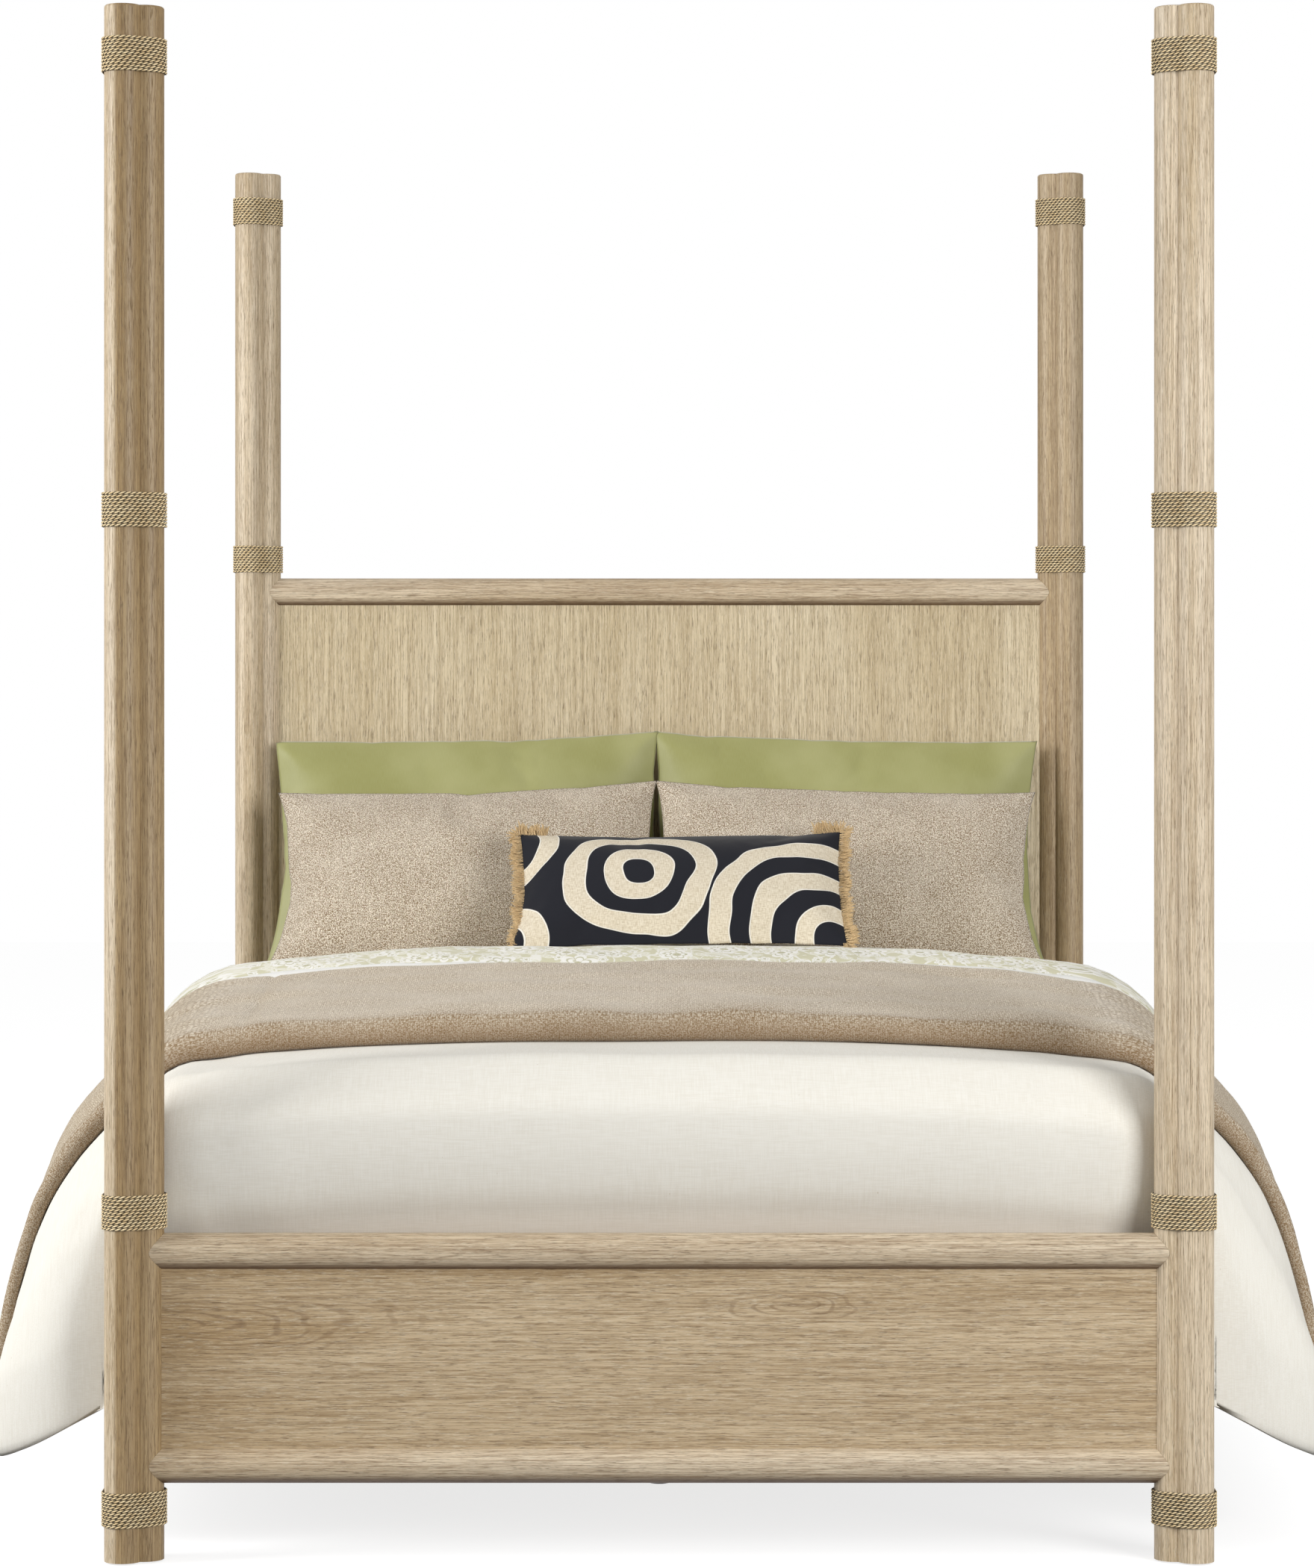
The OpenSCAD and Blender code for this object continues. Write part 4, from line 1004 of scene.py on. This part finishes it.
def coverlet_roll(y, a):
    """The coverlet's folded foot edge is one soft roll, and low ridges run along its head edge."""
    roll = 0.66 + 0.34 * rounded((y - COVERLET_FOOT) / ROLL)
    waves = 1 + 0.07 * np.sin(a * 11.0 + 0.7) * np.sin(a * 4.3) * (1 - ease((y - COVERLET_FOOT) / 0.2))
    ridges = 1 + 0.035 * np.sin((COVERLET_HEAD - y) / 0.026) * ease((y - COVERLET_HEAD + 0.3) / 0.15)
    return roll * waves * ridges


# The coverlet's colour is painted deeper towards its foot edge, as shade under its roll
coverlet_linen = weave_cloth("coverlet_linen", ("#f0e6d3", "#cdbb9b", "#8b704c"), 0.0036, contrast=0.42,
                             depth=0.0005, slub=0.8, run=0.4,
                             deeper=(COVERLET_FOOT + 0.05, COVERLET_FOOT - 0.035))
layer("coverlet_folded", COVERLET_FOOT + 0.012, COVERLET_HEAD - 0.014, coverlet_top, coverlet_linen,
      "coverlet", 0.4, 21, coverlet_roll, step=0.007, wrinkle=0.003, lobes=1, bulge=1.15, seam_at=-0.655)


def fold_thickness(y):
    """The quilt is turned back along its foot end, with a soft roll along the fold."""
    along = np.clip((y - QUILT_FOOT) / QUILT_ROLL_L, 0, 1)
    folded = FOLD_T + (QUILT_T - FOLD_T) * ease((y - FOLD_END) / 0.07)
    return folded + QUILT_ROLL_T * np.sin(math.pi * along)


def white_crescent(y, a):
    """The sheet's end shows a little more towards the sides than in the middle."""
    far = np.abs(a)
    more = 0.24 * ease((far - 0.05) / 0.4) * (1 - ease((far - 0.70) / 0.12))
    return soft_start(BORDER_FOOT, 0.7)(y, a) * (1 + more)


def soft_start(y_from, low, length=0.05):
    """Rounds a layer's foot edge, from a share of its thickness."""
    return lambda y, a: low + (1 - low) * rounded((y - y_from) / length)


white_cotton = linen("white_cotton", "#fbfaf6", "#eceae3", scale=1.6)
layer("sheet_end", BORDER_FOOT + 0.006, BORDER_HEAD - 0.010, lambda y: BORDER_T, white_cotton,
      "sheet_border", 0.4, 31, white_crescent, wrinkle=0.0012)
floral_cotton = floral("floral_cotton")
layer("quilt_turned_back", QUILT_FOOT + 0.006, CLOTH_HEAD - 0.012, fold_thickness, floral_cotton,
      "floral_quilt", 0.45, 41, soft_start(QUILT_FOOT, 0.8), step=0.011, wrinkle=0.0026)

# Pillows: two cloths sewn along their edge and filled until tight, then stood where the solids stand


def sewn_mesh(w, h, step, seed):
    """Two flat cloths that share their outer edge, with a little unevenness in the fill."""
    rng = random.Random(seed)
    cols = int(round(w / step)) + 1
    rows = int(round(h / step)) + 1
    points, flat, faces = [], [], []
    number = {}
    for face in (1, -1):
        for i in range(rows):
            for j in range(cols):
                rim = i in (0, rows - 1) or j in (0, cols - 1)
                key = (i, j) if rim else (i, j, face)
                if key in number:
                    continue
                u, v = -1 + 2 * j / (cols - 1), -1 + 2 * i / (rows - 1)
                bulge = (1 - u ** 4) * (1 - v ** 4)
                number[key] = len(points)
                apart = 0 if rim else -0.012 * face * bulge
                points.append((w / 2 * u, apart + rng.uniform(-0.0006, 0.0006), h / 2 * v))
                flat.append((w / 2 * u, h / 2 * v))
    for face in (1, -1):
        for i in range(rows - 1):
            for j in range(cols - 1):
                corner = []
                for di, dj in ((0, 0), (0, 1), (1, 1), (1, 0)):
                    a, b = i + di, j + dj
                    rim = a in (0, rows - 1) or b in (0, cols - 1)
                    corner.append(number[(a, b) if rim else (a, b, face)])
                faces.append(tuple(corner if face > 0 else corner[::-1]))
    right, top = cols - 1, rows - 1
    round_trip = ([(0, j) for j in range(right)] + [(i, right) for i in range(top)]
                  + [(top, j) for j in range(right, 0, -1)] + [(i, 0) for i in range(top, 0, -1)])
    return points, faces, flat, [number[place] for place in round_trip]


# How nearly the filled cloth keeps to the pillow's outline, and how much larger its flat cloths are cut
OUTLINE_SHARE = 0.80
SEW_W = 1.07
SEW_H = 1.10
CLOTH_STEP = 0.0115
CLOTH_FRAMES = 34
CLOTH = {"quality": 6, "mass": 0.25, "tension_stiffness": 30, "compression_stiffness": 30,
         "shear_stiffness": 12, "bending_stiffness": 0.6, "air_damping": 2.5, "use_pressure": True,
         "uniform_pressure_force": 6.0}


def filled_pillow(name, size, seed, material, node_name, draw_in):
    """Cloth simulation of the filling, then the size that its solid has. Stands upright with +Z up. draw_in
    is how far the upright and the level sides pull in between the corners."""
    w, h, t = size
    points, faces, flat, seam = sewn_mesh(w * SEW_W, h * SEW_H, CLOTH_STEP, seed)
    piece = new_piece(name, points, faces, material, node_name, flat)
    cloth = piece.modifiers.new("cloth", "CLOTH")
    for key, value in CLOTH.items():
        setattr(cloth.settings, key, value)
    cloth.settings.effector_weights.gravity = 0
    cloth.collision_settings.use_collision = False
    cloth.collision_settings.use_self_collision = False
    cloth.point_cache.frame_start = 1
    cloth.point_cache.frame_end = CLOTH_FRAMES
    scene.frame_start = 1
    scene.frame_end = CLOTH_FRAMES
    for frame_number in range(1, CLOTH_FRAMES + 1):
        scene.frame_set(frame_number)
    apply_modifier(piece, cloth)
    scene.frame_set(1)
    places = places_of(piece.data)
    low, high = places.min(0), places.max(0)
    places = (places - (low + high) / 2) * (np.array([w, t, h]) / (high - low))
    u, v = (np.array(flat) / [w * SEW_W / 2, h * SEW_H / 2]).T
    outline = np.stack([w / 2 * u * (1 - draw_in[0] * (1 - v ** 4)), places[:, 1],
                        h / 2 * v * (1 - draw_in[1] * (1 - u ** 4))], 1)
    places = places + (outline - places) * OUTLINE_SHARE
    piece.data.vertices.foreach_set("co", places.ravel())
    return piece, seam


def sharpened_seam(piece, seam, amount=0.75):
    """Keeps the sewn edge crisp when the piece is subdivided."""
    crease = piece.data.attributes.new("crease_edge", "FLOAT", "EDGE")
    wanted = {frozenset(pair) for pair in zip(seam, seam[1:] + seam[:1])}
    for edge in piece.data.edges:
        if frozenset(edge.vertices) in wanted:
            crease.data[edge.index].value = amount
    corner = piece.data.attributes.new("crease_vert", "FLOAT", "POINT")
    x, z = (np.array([piece.data.vertices[i].co[k] for i in seam]) for k in (0, 2))
    for sx in (-1, 1):
        for sz in (-1, 1):
            corner.data[seam[int(np.argmax(sx * x / np.ptp(x) + sz * z / np.ptp(z)))]].value = 1.0
    finer = piece.modifiers.new("finer", "SUBSURF")
    finer.levels = 1
    finer.render_levels = 1
    apply_modifier(piece, finer)


def stand(places, lean, at):
    """Leans upright points back to an angle from flat, and moves them by at."""
    a = math.radians(90 - lean)
    x, y, z = places[:, 0], places[:, 1], places[:, 2]
    turned = np.stack([x, y * math.cos(a) + z * math.sin(a), -y * math.sin(a) + z * math.cos(a)], 1)
    return turned + at


def rolled(places, degrees):
    """Turns upright points in the pillow's own plane. The right end goes up where degrees is positive."""
    a = math.radians(degrees)
    x, y, z = places[:, 0], places[:, 1], places[:, 2]
    return np.stack([x * math.cos(a) - z * math.sin(a), y, x * math.sin(a) + z * math.cos(a)], 1)


SPREAD = 0.024
RIGHT_ASIDE = -0.0115


def place_on(piece, lean, node_name, roll=0.0, aside=0.0):
    """Puts the filled piece in its solid's box, leaning back as the solid does, rolled and moved."""
    places = places_of(piece.data)
    level = stand(places, lean, (0, 0, 0))
    low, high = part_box(node_name)
    middle = (level.min(0) + level.max(0)) / 2
    shift = np.array([(low.x + high.x) / 2 - middle[0] + aside, (low.y + high.y) / 2 - middle[1],
                      low.z - level[:, 2].min()])
    # The lower outer corner spreads a little where the pillow sits on it
    low_down = np.clip(-places[:, 2] / -places[:, 2].min(), 0, 1)
    outer = np.clip(-places[:, 0] * np.sign(roll) / places[:, 0].max(), 0, 1)
    places[:, 0] -= np.sign(roll) * SPREAD * low_down ** 2 * outer ** 3
    piece.data.vertices.foreach_set("co", stand(rolled(places, roll), lean, shift).ravel())
    return shift


TAN_LEAN = 60
GREEN_LEAN = 82
LUMBAR_LEAN = 46
LUMBAR_ROLL = 0.8
LUMBAR_SIZE = (0.612, 0.290, 0.110)


def pillow_pair(kind, size, lean, roll, cloth, draw_in, seeds):
    """Two pillows side by side."""
    for word, side, seed in (("left", 1, seeds[0]), ("right", -1, seeds[1])):
        node_name = f"{kind}_pillow_{word}"
        pillow, seam = filled_pillow(f"{kind}_cushion_{word}", size, seed, cloth, node_name, draw_in)
        sharpened_seam(pillow, seam)
        place_on(pillow, lean, node_name, roll * side, RIGHT_ASIDE * (side < 0))


green_sateen = sateen("green_sateen", "#a9a872", "#98975c")
tan_tweed = weave_cloth("tan_tweed", ("#faf0df", "#cfbc9d", "#7c6341"), 0.0034, contrast=0.42,
                        depth=0.0007, slub=0.95, run=0.6)
pillow_pair("green", (0.750, 0.440, 0.140), GREEN_LEAN, 1.4, green_sateen, (0.02, -0.004), (11, 17))
pillow_pair("tan", (0.735, 0.391, 0.140), TAN_LEAN, 2.0, tan_tweed, (0.05, 0.012), (23, 29))

lumbar, lumbar_seam = filled_pillow("lumbar_pad", LUMBAR_SIZE, 37, bold_bands("lumbar_cloth"),
                                    "lumbar_cushion", (0.015, 0.02))
lumbar_edge = np.array([lumbar.data.vertices[i].co[:] for i in lumbar_seam])
sharpened_seam(lumbar, lumbar_seam)
lumbar_shift = place_on(lumbar, LUMBAR_LEAN, "lumbar_cushion", LUMBAR_ROLL)

# Fringe: loops of yarn out from the lumbar cushion's seam, along its short ends and a little of its top
FRINGE_L = 0.024
YARN_R = 0.0008
YARN_PITCH = 0.0013
FRINGE_WRAP = 0.058
# How far out each point of a yarn's loop lies, and how far to its side, as shares
YARN_LOOP = ((0, 0), (0.5, 1), (0.92, 0.6), (1.0, -0.2), (0.86, -1), (0.45, -1))


def fringe_path(side):
    """The seam's points along one short end, and on along the top edge, with their outward directions."""
    edge = lumbar_edge if side > 0 else lumbar_edge[::-1]
    x, z = edge[:, 0] * side, edge[:, 2]
    half = LUMBAR_SIZE[0] / 2
    wanted = (x > half * 0.94) | ((z > 0) & (x > half - FRINGE_WRAP))
    start = int(np.argmax(wanted & ~np.roll(wanted, 1)))
    run = [(start + k) % len(edge) for k in range(int(wanted.sum()))]
    even, path = evenly(edge[run], lambda length: np.arange(0, length, YARN_PITCH))
    ahead = np.gradient(path, axis=0)
    window = np.ones(9) / 9
    ahead = np.stack([np.convolve(np.pad(ahead[:, k], 4, "edge"), window, "valid") for k in range(3)], 1)
    out = np.stack([ahead[:, 2] * side, 0 * even, -ahead[:, 0] * side], 1)
    return path, out / np.linalg.norm(out, axis=1)[:, None]


def fringe_loops(side, seed):
    rng = random.Random(seed)
    parts = []
    for root, out in zip(*fringe_path(side)):
        for face in (-1, 1):
            along = np.array([-out[2], 0, out[0]])
            start = root - 0.004 * out + np.array([0, face * rng.uniform(0.0005, 0.0045), 0])
            reach = FRINGE_L * rng.uniform(0.6, 1.0) * (1 + 0.16 * math.sin(root[2] * 95))
            lean = along * rng.uniform(-0.35, 0.35) + np.array([0, face * rng.uniform(-0.1, 0.45), 0])
            width = rng.uniform(0.0008, 0.0022)
            path = [start + reach * t * (out + t * lean) + along * width * math.sin(math.pi * t) * turn
                    for t, turn in YARN_LOOP]
            points, faces = tube(path, YARN_R, sides=4)
            parts.append((stand(rolled(points, LUMBAR_ROLL), LUMBAR_LEAN, lumbar_shift), faces))
    return joined(parts)


fringe_yarn = plain("fringe_yarn", "#e2c495", 0.85, grain=0.3, scale=700, depth=0.0003)
new_piece("fringe_loops", *joined([fringe_loops(-1, 5), fringe_loops(1, 6)]), fringe_yarn, "lumbar_fringe",
          slot="fringe")

# Mattress and foundation: upholstered blocks with round corners and piped seams


def rounded_block(low, high, corner, edge):
    """Points and faces of a block that is round at its upright corners and along its edges, and its loop
    of points at an inset and a height."""
    def loop(inset, z):
        points = []
        r = max(corner - inset, 0.004)
        for cx, cy, start in ((1, 1, 0), (-1, 1, 90), (-1, -1, 180), (1, -1, 270)):
            mid_x = (high[0] - inset - r) if cx > 0 else (low[0] + inset + r)
            mid_y = (high[1] - inset - r) if cy > 0 else (low[1] + inset + r)
            for k in range(9):
                a = math.radians(start + 90 * k / 8)
                points.append((mid_x + r * math.cos(a), mid_y + r * math.sin(a), z))
        return points
    turns = [math.pi / 2 * k / 6 for k in range(7)]
    levels = [(edge * (1 - math.sin(a)), low[2] + edge * (1 - math.cos(a))) for a in turns]
    levels += [(edge * (1 - math.sin(a)), high[2] - edge * (1 - math.cos(a))) for a in reversed(turns)]
    points = [p for inset, z in levels for p in loop(inset, z)]
    return np.array(points), ring_faces(len(levels), 36), loop


def upholstered(name, node_name, corner, edge, material, piping_r):
    low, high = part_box(node_name)
    inset = piping_r * 0.8
    low = np.array(low) + [inset, inset, 0]
    high = np.array(high) - [inset, inset, 0]
    points, faces, loop = rounded_block(low, high, corner, edge)
    parts = [(points, faces)]
    for z in (low[2] + edge, high[2] - edge):
        parts.append(tube(loop(0, z), piping_r, sides=8, closed=True))
    new_piece(name, *joined(parts), material, node_name, slot="ticking")


def ticking(name, colour, stripe):
    """Close woven cotton with fine stripes along the bed, quilted in a diamond pattern."""
    s = Shader(name, roughness=0.85, sheen=0.15, specular=0.2)
    place = s.place()
    x, y, z = s.split(place)
    wave = s.math("SINE", s.times(s.plus(x, z), 900.0))
    striped = s.tinted(colour, (wave, 0.7, 0.95, 0.5, stripe))
    first = s.size(s.math("SINE", s.times(s.plus(s.plus(x, z), y), 26.0)))
    second = s.size(s.math("SINE", s.times(s.minus(s.plus(x, z), y), 26.0)))
    quilted = s.times(s.math("POWER", first, 0.4), s.math("POWER", second, 0.4))
    s.bump(quilted, 0.006, 0.7)
    s.bump(s.noise(place, 700, detail=1), 0.0002, 0.4)
    return s.finish(striped)


mattress_cloth = ticking("mattress_ticking", "#f1efe8", "#cfd3d3")
foundation_cloth = linen("foundation_cloth", "#e9e6de", "#c9c5ba")
upholstered("mattress_pad", "mattress", 0.070, 0.060, mattress_cloth, 0.004)
upholstered("foundation_pad", "foundation", 0.070, 0.014, foundation_cloth, 0.003)

# Straps that keep the slats apart
strap_low, strap_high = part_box("slat_straps")
STRAP_W = 0.025
STRAP_T = 0.0012
webbing = weave_cloth("strap_webbing", ("#e8e4da", "#cfcabd", "#8f8a7e"), 0.0022, contrast=0.6,
                      depth=0.0005)
sheets = []
for side in (-1, 1):
    middle = side * (strap_high.x - STRAP_W / 2)
    x = spread(middle - STRAP_W / 2, middle + STRAP_W / 2, 0.003)
    A, B = np.meshgrid(x, spread(strap_low.y, strap_high.y, 0.008))
    upper = np.stack([A, B, np.full_like(A, strap_high.z)], -1)
    sheets.append(closed_sheet(upper, upper - [0, 0, STRAP_T], np.stack([A, B], -1), steps=2))
straps = new_piece("strap_webbing", *joined([sheet[:2] for sheet in sheets]), webbing, "slat_straps",
                   np.concatenate([sheet[2] for sheet in sheets]), slot="strap")
